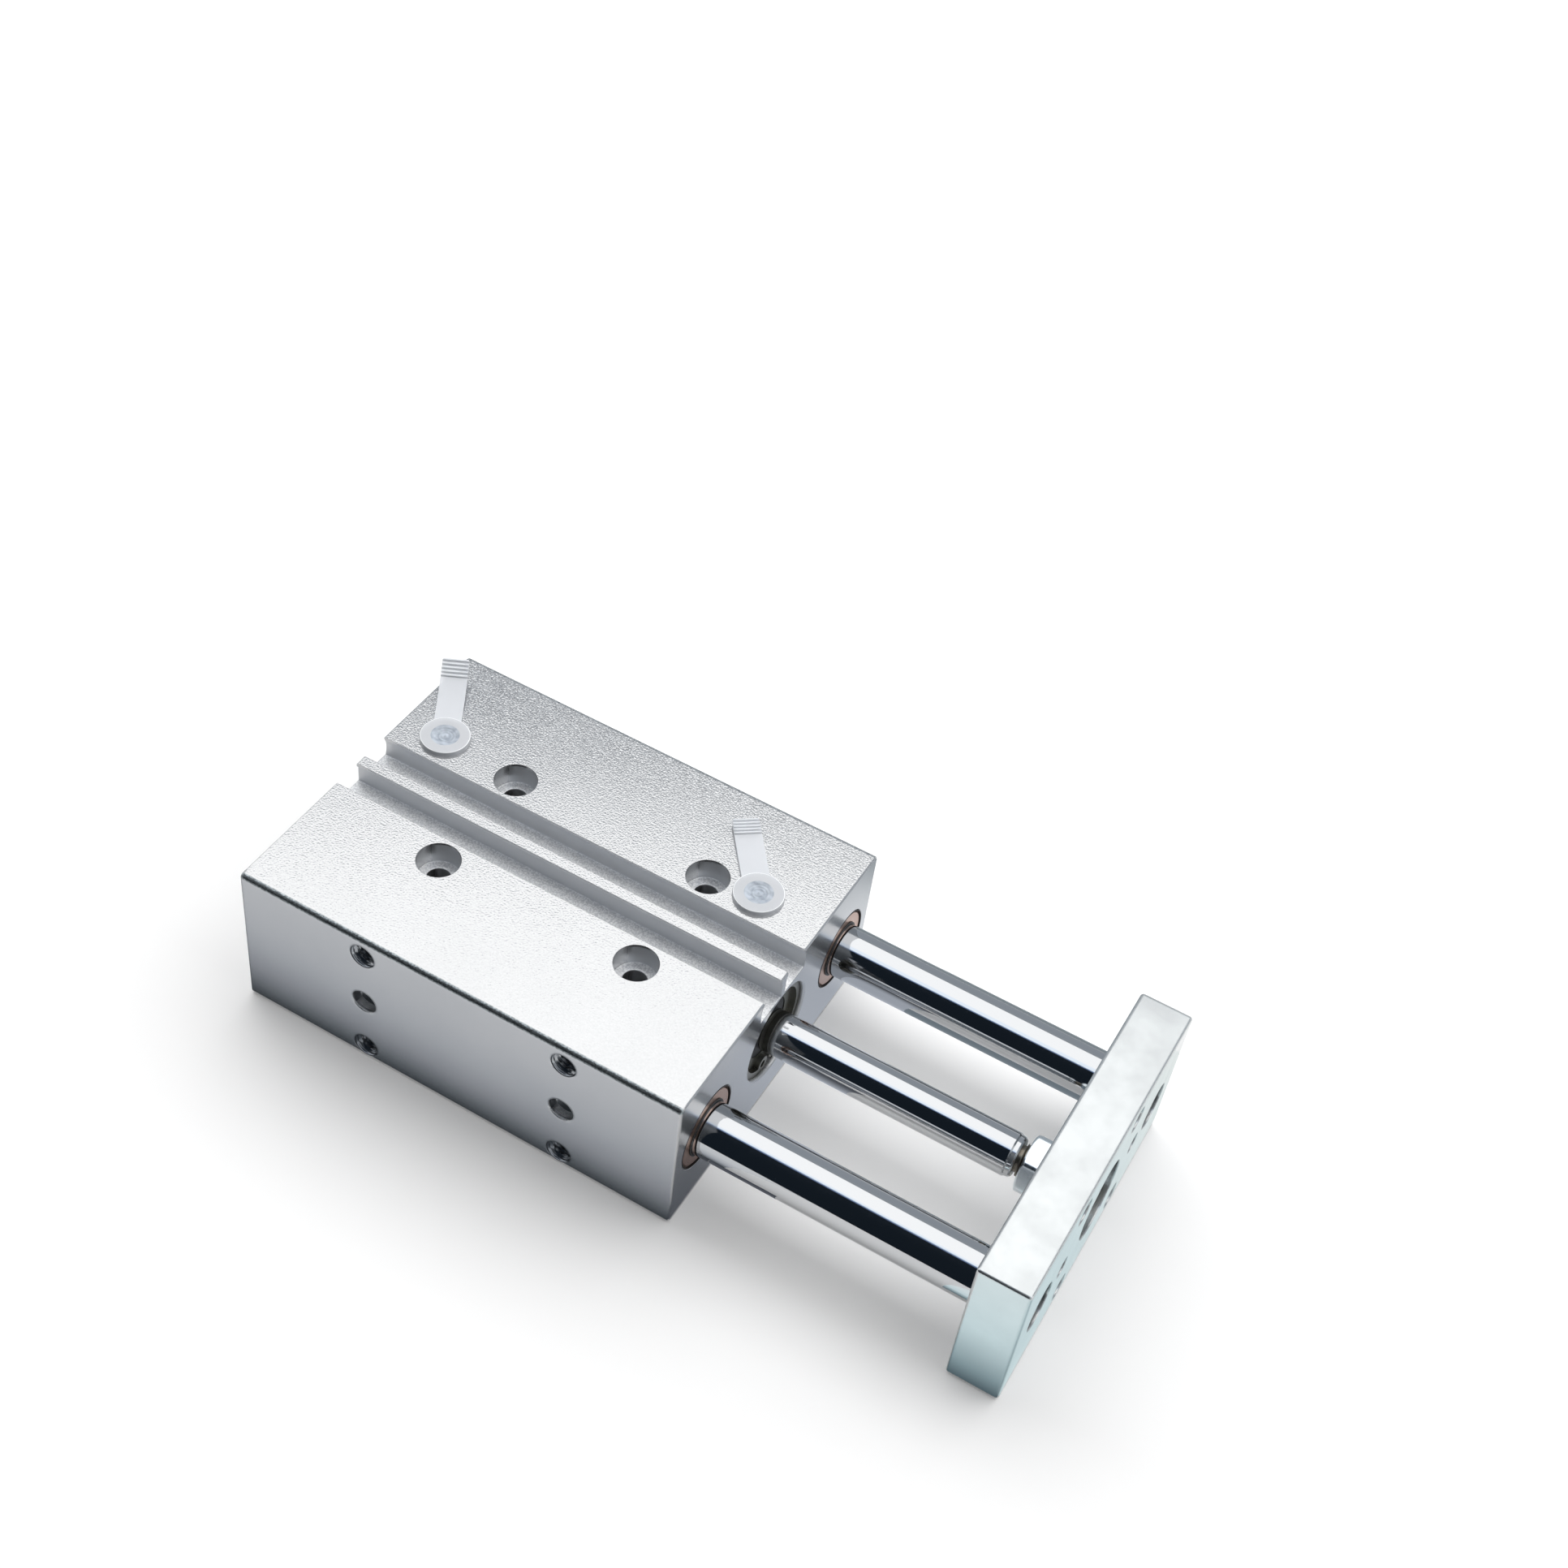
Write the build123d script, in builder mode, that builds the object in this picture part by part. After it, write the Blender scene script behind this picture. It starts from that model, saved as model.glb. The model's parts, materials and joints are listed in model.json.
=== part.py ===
from build123d import *
import math
import os

os.makedirs("parts", exist_ok=True)

# Guided pneumatic cylinder, drawn with its rods fully out.
# +X points from the housing to the end plate, +Z is up and Y = 0 is the plane of symmetry.
# The origin is the centre of the four mounting holes on the bottom face of the housing.
# All sizes are in millimetres.

# Travel
stroke = 50.0
retracted_gap = 2.5
end_clearance = 0.3

# Housing block
body_width = 67.5
body_height = 32.0
body_corner_r = 1.0
body_end_chamfer = 0.3

# Fits between pieces
press_gap = 0.02
running_gap = 0.05
loose_gap = 0.2

# Mounting holes through the housing
mount_pitch_x = 40.5
mount_pitch_y = 23.6
mount_from_rear = 25.6
mount_hole_d = 4.5
mount_head_d = 8.0
mount_head_depth = 4.6
mount_thread_d = 5.0
mount_thread_depth = 10.0
mouth_chamfer = 0.25

# Threaded and dowel holes in both long sides
side_thread_d = 5.0
side_thread_depth = 10.0
side_low_row = 3.15
side_high_inset = 4.35
dowel_d = 5.0
dowel_depth = 3.5

# Sensor channel along the top face, with a rail down its middle
channel_mouth = 14.1
channel_foot_undercut = 0.3
channel_bow_undercut = 0.6
channel_depth = 4.8
channel_lip = 0.5
rail_top = 2.2
rail_undercut = 0.4
rail_lip = 0.9
rail_shoulder = 1.4

# Cylinder bore and the counterbores that take the covers
piston_bore_d = 16.0
bore_rise = 0.75
cover_bore_step = 1.7
snap_groove_depth = 0.4
snap_inset = 0.8
snap_thickness = 1.0
snap_groove_play = 0.1
snap_band = 1.7
snap_gap = 0.8
snap_ear_r = 1.5
snap_ear_inset = 0.5
snap_ear_hole_d = 1.5

# Covers
rod_cover_length = 9.2
head_cover_length = 6.1
head_cover_recess_inset = 3.0
head_cover_recess_depth = 1.5
head_socket_d = 6.0
head_socket_depth = 2.0
o_ring_section = 1.5
o_ring_groove_w = 2.0
o_ring_inset = 1.8
rod_bush_wall = 1.3
rod_bush_length = 3.4
rod_seal_wall = 2.3
rod_seal_length = 2.4
rod_seal_inset = 4.1
rod_wiper_wall = 2.0
rod_wiper_length = 1.7
wiper_recess = 0.2

# Piston and what it carries
piston_gap = 0.2
piston_length = 14.0
piston_land = 1.2
wear_ring_w = 2.5
wear_ring_t = 1.1
magnet_w = 3.0
magnet_t = 1.6
piston_seal_w = 2.6
piston_seal_t = 2.1
bumper_t = 2.5
front_bumper_wall = 2.0
rear_bumper_inset = 1.5
piston_nut_af = 8.0
piston_nut_t = 2.4
piston_nut_recess = 1.6
piston_nut_play = 1.2
piston_tail = 0.3

# Piston rod
rod_d = 8.0
rod_end_chamfer = 1.2
rod_end_step = 0.5
spigot_d = 5.0
stud_d = 6.0
relief_d = 4.9
relief_w = 0.6
shoulder_to_nut = 1.3
stud_tail = 1.1
stud_chamfer = 0.5

# Guide rods and bushes
guide_from_side = 10.25
guide_rod_d = 10.0
guide_rod_chamfer = 0.8
guide_rear_inset = 2.0
rear_bush_wall = 1.0
front_bush_wall = 2.75
front_bush_length = 15.0
front_bush_recess = 0.15
bush_chamfer = 0.5
rear_bush_lead = 1.5
rear_bush_length = 12.0
guide_thread_depth = 13.0

# End plate
plate_thickness = 9.7
plate_side_inset = 0.85
plate_top_inset = 0.8
plate_floor_gap = 0.2
plate_edge_r = 0.6
plate_rod_recess_d = 15.0
plate_rod_web = 3.9
plate_thread_d = 5.0
plate_thread_pitch_y = 21.6
plate_thread_inset_z = 4.3
plate_dowel_d = 4.0
plate_dowel_pitch = 29.2
rod_nut_af = 10.0
rod_nut_t = 4.0
nut_chamfer = 0.6
nut_turn = 8.0

# Socket head screws that hold the guide rods
screw_d = 5.0
screw_head_d = 8.5
screw_head_h = 5.0
screw_recess_play = 0.25
screw_recess_extra = 0.5
screw_grip = 12.0
screw_socket_af = 4.0
screw_socket_depth = 2.6
screw_head_chamfer = 0.5

# Air ports and their pull-off dust caps
port_y = 13.1
port_d = 4.2
port_depth = 6.5
port_mouth_d = 5.2
passage_d = 2.0
front_port_margin = 0.9
rear_port_margin = 0.3
cap_d = 9.3
cap_flange_t = 0.9
cap_edge_r = 0.25
cap_foot_clearance = 1.5
cap_stem_chamfer = 0.4
cap_stem_floor = 1.5
cap_hollow_d = 3.0
cap_funnel_d = 5.4
cap_funnel_depth = 0.45
strap_width = 5.0
strap_reach = 17.3
strap_t = 0.6
strap_lift = 0.15
strap_root_overlap = 0.9
strap_tip_r = 0.7
rib_count = 5
rib_pitch = 0.75
rib_r = 0.28
rear_strap_angle = 118.7
rear_strap_rise = 3.0
front_strap_angle = 128.0
front_strap_rise = 0.3

# Sizes that follow from their neighbours
cover_bore_d = piston_bore_d + 2 * cover_bore_step
snap_groove_d = cover_bore_d + 2 * snap_groove_depth
snap_inner_d = snap_groove_d - 2 * snap_band
snap_ear_circle_d = snap_inner_d - 2 * snap_ear_inset
head_cover_recess_d = piston_bore_d - 2 * head_cover_recess_inset
rod_bush_d = rod_d + 2 * rod_bush_wall
rod_seal_d = rod_d + 2 * rod_seal_wall
rod_wiper_d = rod_d + 2 * rod_wiper_wall
piston_d = piston_bore_d - 2 * piston_gap
front_bumper_d = rod_d + 2 * front_bumper_wall
rear_bumper_d = piston_bore_d - 2 * rear_bumper_inset
guide_pitch = body_width - 2 * guide_from_side
guide_bore_d = guide_rod_d + 2 * rear_bush_wall
front_bush_d = guide_rod_d + 2 * front_bush_wall
plate_width = body_width - 2 * plate_side_inset
plate_height = body_height - plate_floor_gap - plate_top_inset
plate_thread_pitch_z = plate_height - 2 * plate_thread_inset_z
side_pitch_z = body_height - side_low_row - side_high_inset
side_row_z = side_low_row + side_pitch_z / 2
screw_recess_d = screw_head_d + 2 * screw_recess_play
channel_foot = channel_mouth + 2 * channel_foot_undercut
channel_bow = channel_mouth + 2 * channel_bow_undercut
rail_foot = rail_top - 2 * rail_undercut
cap_stem_length = port_depth - cap_foot_clearance
cap_hollow_depth = cap_flange_t + cap_stem_length - cap_stem_floor

# Places along X that follow from the stack of pieces in the bore
moving_stack = 2 * bumper_t + piston_length
front_cover_seat = snap_inset + snap_thickness + rod_cover_length
rear_cover_seat = snap_inset + snap_thickness + head_cover_length
body_length = front_cover_seat + rear_cover_seat + moving_stack + stroke + 2 * end_clearance
rear_face = -(mount_from_rear + mount_pitch_x / 2)
front_face = rear_face + body_length
rod_cover_back = front_face - front_cover_seat
head_cover_front = rear_face + rear_cover_seat
piston_front = rod_cover_back - end_clearance - bumper_t
piston_rear = piston_front - piston_length
plate_rear = front_face + retracted_gap + stroke
plate_front = plate_rear + plate_thickness
front_port_x = rod_cover_back - front_port_margin - passage_d / 2
rear_port_x = head_cover_front + rear_port_margin + passage_d / 2
guide_rod_rear = rear_face + guide_rear_inset + stroke

# Heights
guide_z = body_height / 2
bore_z = body_height / 2 + bore_rise
channel_floor = body_height - channel_depth
plate_mid_z = plate_floor_gap + plate_height / 2

# Working planes and axes
bore_section = Plane(origin=(0, 0, bore_z), x_dir=(1, 0, 0), z_dir=(0, -1, 0))
bore_axis = Axis((0, 0, bore_z), (1, 0, 0))
guide_sides = {"near": -guide_pitch / 2, "far": guide_pitch / 2}
along_x = (Align.CENTER, Align.CENTER, Align.MIN)


def facing_x(x, y=0.0, z=bore_z):
    """Plane at x that looks along +X, with its own axes along Y and Z."""
    return Plane(origin=(x, y, z), x_dir=(0, 1, 0), z_dir=(1, 0, 0))


def save(piece, label):
    """Names a finished piece and writes its file."""
    piece.label = label
    export_step(piece, f"parts/{label}.step")


def sleeve(x, length, outer_d, inner_d, y=0.0, z=bore_z, chamfer_size=0.0):
    """Plain tube along X that starts at x, with its outer end edges broken if asked."""
    with BuildPart() as tube:
        with Locations(facing_x(x, y, z)):
            Cylinder(outer_d / 2, length, align=along_x)
        if chamfer_size:
            chamfer(tube.edges().filter_by(GeomType.CIRCLE), chamfer_size)
        with Locations(facing_x(x, y, z)):
            Cylinder(inner_d / 2, length, align=along_x, mode=Mode.SUBTRACT)
    return tube.part


def o_ring(x_mid, outer_d):
    """Round-section ring about the bore axis, with its outside at outer_d."""
    with BuildPart() as ring:
        with Locations(facing_x(x_mid)):
            Torus(outer_d / 2 - o_ring_section / 2, o_ring_section / 2)
    return ring.part


def retaining_ring(x):
    """Internal retaining ring with two plier ears, drawn on the plane at x and thickened along +X."""
    ear_offset = snap_gap / 2 + snap_ear_r
    ear_drop = math.sqrt((snap_ear_circle_d / 2) ** 2 - ear_offset**2)
    with BuildPart() as ring:
        with BuildSketch(facing_x(x)):
            Circle(snap_groove_d / 2 - press_gap)
            Circle(snap_inner_d / 2, mode=Mode.SUBTRACT)
            with Locations((0, -snap_groove_d / 2)):
                Rectangle(2 * ear_offset, snap_groove_d, mode=Mode.SUBTRACT)
            with Locations((-ear_offset, -ear_drop), (ear_offset, -ear_drop)):
                Circle(snap_ear_r)
                Circle(snap_ear_hole_d / 2, mode=Mode.SUBTRACT)
        extrude(amount=snap_thickness)
    return ring.part


def hex_nut(x, across_flats, thickness, hole_d, turn=0.0, corner_chamfer=0.0):
    """Hexagon nut about the bore axis, with its corners turned down to a cone at both ends."""
    corner_d = across_flats / math.cos(math.pi / 6)
    with BuildPart() as nut:
        with BuildSketch(facing_x(x)):
            RegularPolygon(across_flats / 2, 6, major_radius=False, rotation=30 + turn)
        extrude(amount=thickness)
        if corner_chamfer:
            with BuildSketch(bore_section):
                with BuildLine():
                    slope = corner_chamfer * math.tan(math.pi / 6)
                    Polyline(
                        (x, 0),
                        (x, corner_d / 2 - corner_chamfer),
                        (x + slope, corner_d / 2),
                        (x + thickness - slope, corner_d / 2),
                        (x + thickness, corner_d / 2 - corner_chamfer),
                        (x + thickness, 0),
                        close=True,
                    )
                make_face()
            revolve(axis=bore_axis, mode=Mode.INTERSECT)
        with Locations(facing_x(x)):
            Cylinder(hole_d / 2, thickness, align=along_x, mode=Mode.SUBTRACT)
    return nut.part


def port_cap(port_x, strap_angle, tail_rise):
    """Dust cap of one air port: flange, hollow stem and a ribbed pull strap that rises to its tip."""
    seat = Plane(origin=(port_x, port_y, body_height))
    strap_plan = seat.rotated((0, 0, strap_angle))
    strap_side = Plane(origin=seat.origin, x_dir=strap_plan.x_dir, z_dir=-strap_plan.y_dir)
    root = cap_d / 2 - strap_root_overlap
    run = strap_reach - root
    top = strap_lift + strap_t
    with BuildPart() as strap:
        with BuildSketch(strap_side):
            with BuildLine():
                foot = Bezier(
                    (root, strap_lift),
                    (root + run / 2, strap_lift),
                    (strap_reach, strap_lift + tail_rise),
                )
                back = Bezier((root, top), (root + run / 2, top), (strap_reach, top + tail_rise))
                Line(foot @ 0, back @ 0)
                Line(foot @ 1, back @ 1)
            make_face()
            for rib in range(rib_count):
                along = 1 - (rib_r + rib * rib_pitch) / run
                with Locations((root + along * run, top + tail_rise * along**2)):
                    Circle(rib_r)
        extrude(amount=strap_width, both=True)
        with BuildSketch(strap_plan):
            RectangleRounded(strap_reach, strap_width, strap_tip_r, align=(Align.MIN, Align.CENTER))
        extrude(amount=top + tail_rise + rib_r, mode=Mode.INTERSECT)
    with BuildPart() as cap:
        with Locations(seat):
            Cylinder(cap_d / 2, cap_flange_t, align=along_x)
        fillet(cap.edges().group_by(Axis.Z)[-1], cap_edge_r)
        with Locations(seat.offset(-cap_stem_length)):
            Cylinder(port_d / 2 - running_gap, cap_stem_length, align=along_x)
        chamfer(cap.edges().group_by(Axis.Z)[0], cap_stem_chamfer)
        add(strap.part)
        with BuildSketch(seat.offset(cap_flange_t)):
            Circle(cap_funnel_d / 2)
        with BuildSketch(seat.offset(cap_flange_t - cap_funnel_depth)):
            Circle(cap_hollow_d / 2)
        loft(mode=Mode.SUBTRACT)
        with Locations(seat.offset(cap_flange_t)):
            Hole(cap_hollow_d / 2, depth=cap_hollow_depth)
    return cap.part


# Housing: one aluminium extrusion, bored and drilled
with BuildPart() as cylinder_body:
    with BuildSketch(facing_x(rear_face, z=body_height / 2)):
        RectangleRounded(body_width, body_height, body_corner_r)
    extrude(amount=body_length)
    end_faces = cylinder_body.faces().filter_by(Axis.X)
    chamfer(end_faces.edges(), body_end_chamfer)

    # Sensor channel: two undercut grooves with a narrow rail left standing between them
    with BuildSketch(facing_x(rear_face, z=0)):
        with BuildLine():
            lip_z = body_height - channel_lip
            above = body_height + channel_lip
            bow = ThreePointArc(
                (channel_mouth / 2, lip_z),
                (channel_bow / 2, (lip_z + channel_floor) / 2),
                (channel_foot / 2, channel_floor),
            )
            Polyline(
                bow @ 1,
                (rail_foot / 2, channel_floor),
                (rail_foot / 2, body_height - rail_shoulder),
                (rail_top / 2, body_height - rail_lip),
                (rail_top / 2, above),
                (channel_mouth / 2, above),
                bow @ 0,
            )
        make_face()
        mirror(about=Plane.YZ)
    extrude(amount=body_length, mode=Mode.SUBTRACT)

    # Cylinder bore, cover counterbores and retaining ring grooves
    with Locations(facing_x(rear_face)):
        Cylinder(piston_bore_d / 2, body_length, align=along_x, mode=Mode.SUBTRACT)
        Cylinder(cover_bore_d / 2, rear_cover_seat, align=along_x, mode=Mode.SUBTRACT)
    with Locations(facing_x(rod_cover_back)):
        Cylinder(cover_bore_d / 2, front_cover_seat, align=along_x, mode=Mode.SUBTRACT)
    groove_w = snap_thickness + snap_groove_play
    rear_groove = rear_face + snap_inset - snap_groove_play / 2
    front_groove = front_face - snap_inset - snap_thickness - snap_groove_play / 2
    with Locations(facing_x(rear_groove), facing_x(front_groove)):
        Cylinder(snap_groove_d / 2, groove_w, align=along_x, mode=Mode.SUBTRACT)

    # Guide bores, stepped up for the front bushes
    for side_y in guide_sides.values():
        with Locations(facing_x(rear_face, side_y, guide_z)):
            Cylinder(guide_bore_d / 2, body_length, align=along_x, mode=Mode.SUBTRACT)
        with Locations(facing_x(front_face - front_bush_length, side_y, guide_z)):
            Cylinder(front_bush_d / 2, front_bush_length, align=along_x, mode=Mode.SUBTRACT)
    mouths = cylinder_body.faces().filter_by(Axis.X).group_by(Axis.X)
    round_edges = (mouths[0] + mouths[-1]).edges().filter_by(GeomType.CIRCLE)
    bore_mouths = [edge for edge in round_edges if edge.radius > guide_bore_d / 2 - press_gap]
    chamfer(bore_mouths, mouth_chamfer)

    # Four mounting holes: head recess from the top, thread from the bottom
    with Locations((0, 0, body_height)):
        with GridLocations(mount_pitch_x, mount_pitch_y, 2, 2):
            CounterBoreHole(mount_hole_d / 2, mount_head_d / 2, mount_head_depth, body_height)
    with GridLocations(mount_pitch_x, mount_pitch_y, 2, 2):
        Cylinder(mount_thread_d / 2, mount_thread_depth, align=along_x, mode=Mode.SUBTRACT)

    # Side holes: two threads and a dowel hole at each mounting station, on both sides
    for face_y in (-body_width / 2, body_width / 2):
        side = Plane(origin=(0, face_y, side_row_z), x_dir=(1, 0, 0), z_dir=(0, face_y, 0))
        with BuildSketch(side):
            with GridLocations(mount_pitch_x, side_pitch_z, 2, 2):
                Circle(side_thread_d / 2)
        extrude(amount=-side_thread_depth, mode=Mode.SUBTRACT)
        with BuildSketch(side):
            with GridLocations(mount_pitch_x, 0, 2, 1):
                Circle(dowel_d / 2)
        extrude(amount=-dowel_depth, mode=Mode.SUBTRACT)

    # Air ports, each with a slanted passage from its foot into the end of the bore
    for port_x in (rear_port_x, front_port_x):
        with Locations((port_x, port_y, body_height)):
            CounterSinkHole(port_d / 2, port_mouth_d / 2, depth=port_depth)
        foot = Vector(port_x, port_y, body_height - port_depth)
        target = Vector(port_x, 0, bore_z)
        with Locations(Plane(origin=foot, x_dir=(1, 0, 0), z_dir=target - foot)):
            Cylinder(passage_d / 2, (target - foot).length, align=along_x, mode=Mode.SUBTRACT)
save(cylinder_body.part, "cylinder_body")

# Rod cover, closed round the rod and sealed in the front counterbore
cover_d = cover_bore_d - 2 * press_gap
o_ring_seat_d = cover_d - 2 * o_ring_section - 2 * press_gap
with BuildPart() as rod_cover:
    with Locations(facing_x(rod_cover_back)):
        Cylinder(cover_d / 2, rod_cover_length, align=along_x)
    chamfer(rod_cover.edges().filter_by(GeomType.CIRCLE), mouth_chamfer)
    with Locations(facing_x(rod_cover_back)):
        Cylinder(rod_d / 2 + loose_gap, rod_cover_length, align=along_x, mode=Mode.SUBTRACT)
        Cylinder(rod_bush_d / 2, rod_bush_length, align=along_x, mode=Mode.SUBTRACT)
    with Locations(facing_x(rod_cover_back + rod_seal_inset)):
        Cylinder(rod_seal_d / 2, rod_seal_length, align=along_x, mode=Mode.SUBTRACT)
    with Locations(facing_x(rod_cover_back + rod_cover_length - rod_wiper_length)):
        Cylinder(rod_wiper_d / 2, rod_wiper_length, align=along_x, mode=Mode.SUBTRACT)
    with BuildSketch(bore_section):
        with Locations((rod_cover_back + o_ring_inset, o_ring_seat_d / 2)):
            Rectangle(o_ring_groove_w, cover_d, align=(Align.CENTER, Align.MIN))
    revolve(axis=bore_axis, mode=Mode.SUBTRACT)
save(rod_cover.part, "rod_cover")
save(o_ring(rod_cover_back + o_ring_inset, cover_d), "rod_cover_o_ring")

# Bush, seal and wiper that the piston rod runs in
rod_run_d = rod_d + 2 * running_gap
save(sleeve(rod_cover_back, rod_bush_length, rod_bush_d - 2 * press_gap, rod_run_d), "rod_bush")
with BuildPart() as rod_seal:
    with BuildSketch(bore_section):
        with BuildLine():
            seal_x = rod_cover_back + rod_seal_inset
            seal_top = rod_seal_d / 2 - press_gap
            seal_mid = (seal_top + rod_run_d / 2) / 2
            Polyline(
                (seal_x, rod_run_d / 2),
                (seal_x + rod_seal_length / 3, seal_mid),
                (seal_x, seal_top),
                (seal_x + rod_seal_length, seal_top),
                (seal_x + rod_seal_length, seal_mid),
                (seal_x + rod_seal_length / 2, rod_run_d / 2),
                close=True,
            )
        make_face()
    revolve(axis=bore_axis)
save(rod_seal.part, "rod_seal")
wiper_x = rod_cover_back + rod_cover_length - rod_wiper_length
save(
    sleeve(wiper_x, rod_wiper_length - wiper_recess, rod_wiper_d - 2 * press_gap, rod_run_d),
    "rod_wiper",
)

# Head cover that closes the rear of the bore
with BuildPart() as head_cover:
    with Locations(facing_x(head_cover_front - head_cover_length)):
        Cylinder(cover_d / 2, head_cover_length, align=along_x)
    chamfer(head_cover.edges().filter_by(GeomType.CIRCLE), mouth_chamfer)
    with Locations(facing_x(head_cover_front - head_cover_recess_depth)):
        Cylinder(head_cover_recess_d / 2, head_cover_recess_depth, align=along_x, mode=Mode.SUBTRACT)
    with Locations(facing_x(head_cover_front - head_cover_length)):
        Cylinder(head_socket_d / 2, head_socket_depth, align=along_x, mode=Mode.SUBTRACT)
    with BuildSketch(bore_section):
        with Locations((head_cover_front - o_ring_inset, o_ring_seat_d / 2)):
            Rectangle(o_ring_groove_w, cover_d, align=(Align.CENTER, Align.MIN))
    revolve(axis=bore_axis, mode=Mode.SUBTRACT)
save(head_cover.part, "head_cover")
save(o_ring(head_cover_front - o_ring_inset, cover_d), "head_cover_o_ring")

# Retaining rings in front of and behind the covers
save(retaining_ring(front_face - snap_inset - snap_thickness), "front_snap_ring")
save(retaining_ring(rear_face + snap_inset), "rear_snap_ring")

# Guide bushes, two to each rod
guide_run_d = guide_rod_d + 2 * running_gap
for side_name, side_y in guide_sides.items():
    front_bush = sleeve(
        front_face - front_bush_length,
        front_bush_length - front_bush_recess,
        front_bush_d - 2 * press_gap,
        guide_run_d,
        side_y,
        guide_z,
        bush_chamfer,
    )
    save(front_bush, f"front_guide_bush_{side_name}")
    rear_bush = sleeve(
        guide_rod_rear + rear_bush_lead,
        rear_bush_length,
        guide_bore_d - 2 * press_gap,
        guide_run_d,
        side_y,
        guide_z,
    )
    save(rear_bush, f"rear_guide_bush_{side_name}")

# Piston with grooves for its wear ring, magnet and seal, from the rear to the front
wear_ring_x = piston_rear + piston_land
magnet_x = wear_ring_x + wear_ring_w + piston_land
piston_seal_x = magnet_x + magnet_w + piston_land
nut_clear_d = 2 * piston_nut_af / math.sqrt(3) + piston_nut_play
with BuildPart() as piston:
    with Locations(facing_x(piston_rear)):
        Cylinder(piston_d / 2, piston_length, align=along_x)
    chamfer(piston.edges().filter_by(GeomType.CIRCLE), mouth_chamfer)
    with BuildSketch(bore_section):
        for groove_x, groove_width, groove_t in (
            (wear_ring_x, wear_ring_w, wear_ring_t),
            (magnet_x, magnet_w, magnet_t),
            (piston_seal_x, piston_seal_w, piston_seal_t),
        ):
            with Locations((groove_x, piston_bore_d / 2 - running_gap - groove_t)):
                Rectangle(groove_width, piston_d, align=(Align.MIN, Align.MIN))
    revolve(axis=bore_axis, mode=Mode.SUBTRACT)
    with Locations(facing_x(piston_rear)):
        Cylinder(spigot_d / 2 + press_gap, piston_length, align=along_x, mode=Mode.SUBTRACT)
        Cylinder(nut_clear_d / 2, piston_nut_recess, align=along_x, mode=Mode.SUBTRACT)
save(piston.part, "piston")


def piston_ring(x, width, thickness, outer_d):
    """Ring that fills one groove of the piston, up to the outer diameter given."""
    seat_d = piston_bore_d - 2 * running_gap - 2 * thickness
    return sleeve(x + press_gap, width - 2 * press_gap, outer_d, seat_d + 2 * press_gap)


sliding_d = piston_bore_d - 2 * running_gap
save(piston_ring(wear_ring_x, wear_ring_w, wear_ring_t, sliding_d), "piston_wear_ring")
save(piston_ring(magnet_x, magnet_w, magnet_t, piston_d), "piston_magnet")
save(piston_ring(piston_seal_x, piston_seal_w, piston_seal_t, sliding_d), "piston_seal")

# Rubber bumpers on both faces of the piston
save(sleeve(piston_front, bumper_t, front_bumper_d, rod_d + 2 * press_gap), "front_bumper")
save(sleeve(piston_rear - bumper_t, bumper_t, rear_bumper_d, nut_clear_d), "rear_bumper")

# Nut that clamps the piston on the spigot of its rod
piston_nut_x = piston_rear + piston_nut_recess - piston_nut_t
save(hex_nut(piston_nut_x, piston_nut_af, piston_nut_t, spigot_d + 2 * press_gap), "piston_nut")

# Piston rod: spigot, ground shaft, chamfered shoulder, thread relief and stud
rear_nut_x = plate_rear - rod_nut_t
rod_shoulder = rear_nut_x - shoulder_to_nut
front_nut_x = plate_rear + plate_rod_web
stud_end = front_nut_x + rod_nut_t + stud_tail
spigot_end = piston_nut_x - piston_tail
with BuildPart() as piston_rod:
    with BuildSketch(bore_section):
        with BuildLine():
            Polyline(
                (spigot_end, 0),
                (spigot_end, spigot_d / 2 - stud_chamfer),
                (spigot_end + stud_chamfer, spigot_d / 2),
                (piston_front, spigot_d / 2),
                (piston_front, rod_d / 2),
                (rod_shoulder - rod_end_chamfer, rod_d / 2),
                (rod_shoulder, rod_d / 2 - rod_end_step),
                (rod_shoulder, relief_d / 2),
                (rod_shoulder + relief_w, relief_d / 2),
                (rod_shoulder + relief_w, stud_d / 2),
                (stud_end - stud_chamfer, stud_d / 2),
                (stud_end, stud_d / 2 - stud_chamfer),
                (stud_end, 0),
                close=True,
            )
        make_face()
    revolve(axis=bore_axis)
save(piston_rod.part, "piston_rod")

# Nuts behind and in front of the web of the end plate
nut_hole_d = stud_d + 2 * press_gap
for nut_x, nut_name in ((rear_nut_x, "rear_rod_nut"), (front_nut_x, "front_rod_nut")):
    save(hex_nut(nut_x, rod_nut_af, rod_nut_t, nut_hole_d, nut_turn, nut_chamfer), nut_name)

# Guide rods, threaded at the front for the plate screws
for side_name, side_y in guide_sides.items():
    with BuildPart() as guide_rod:
        with Locations(facing_x(guide_rod_rear, side_y, guide_z)):
            Cylinder(guide_rod_d / 2, plate_rear - guide_rod_rear, align=along_x)
        chamfer(guide_rod.edges().group_by(Axis.X)[0], guide_rod_chamfer)
        with Locations(facing_x(plate_rear, side_y, guide_z)):
            Hole(screw_d / 2 + press_gap, depth=guide_thread_depth)
    save(guide_rod.part, f"guide_rod_{side_name}")

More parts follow.
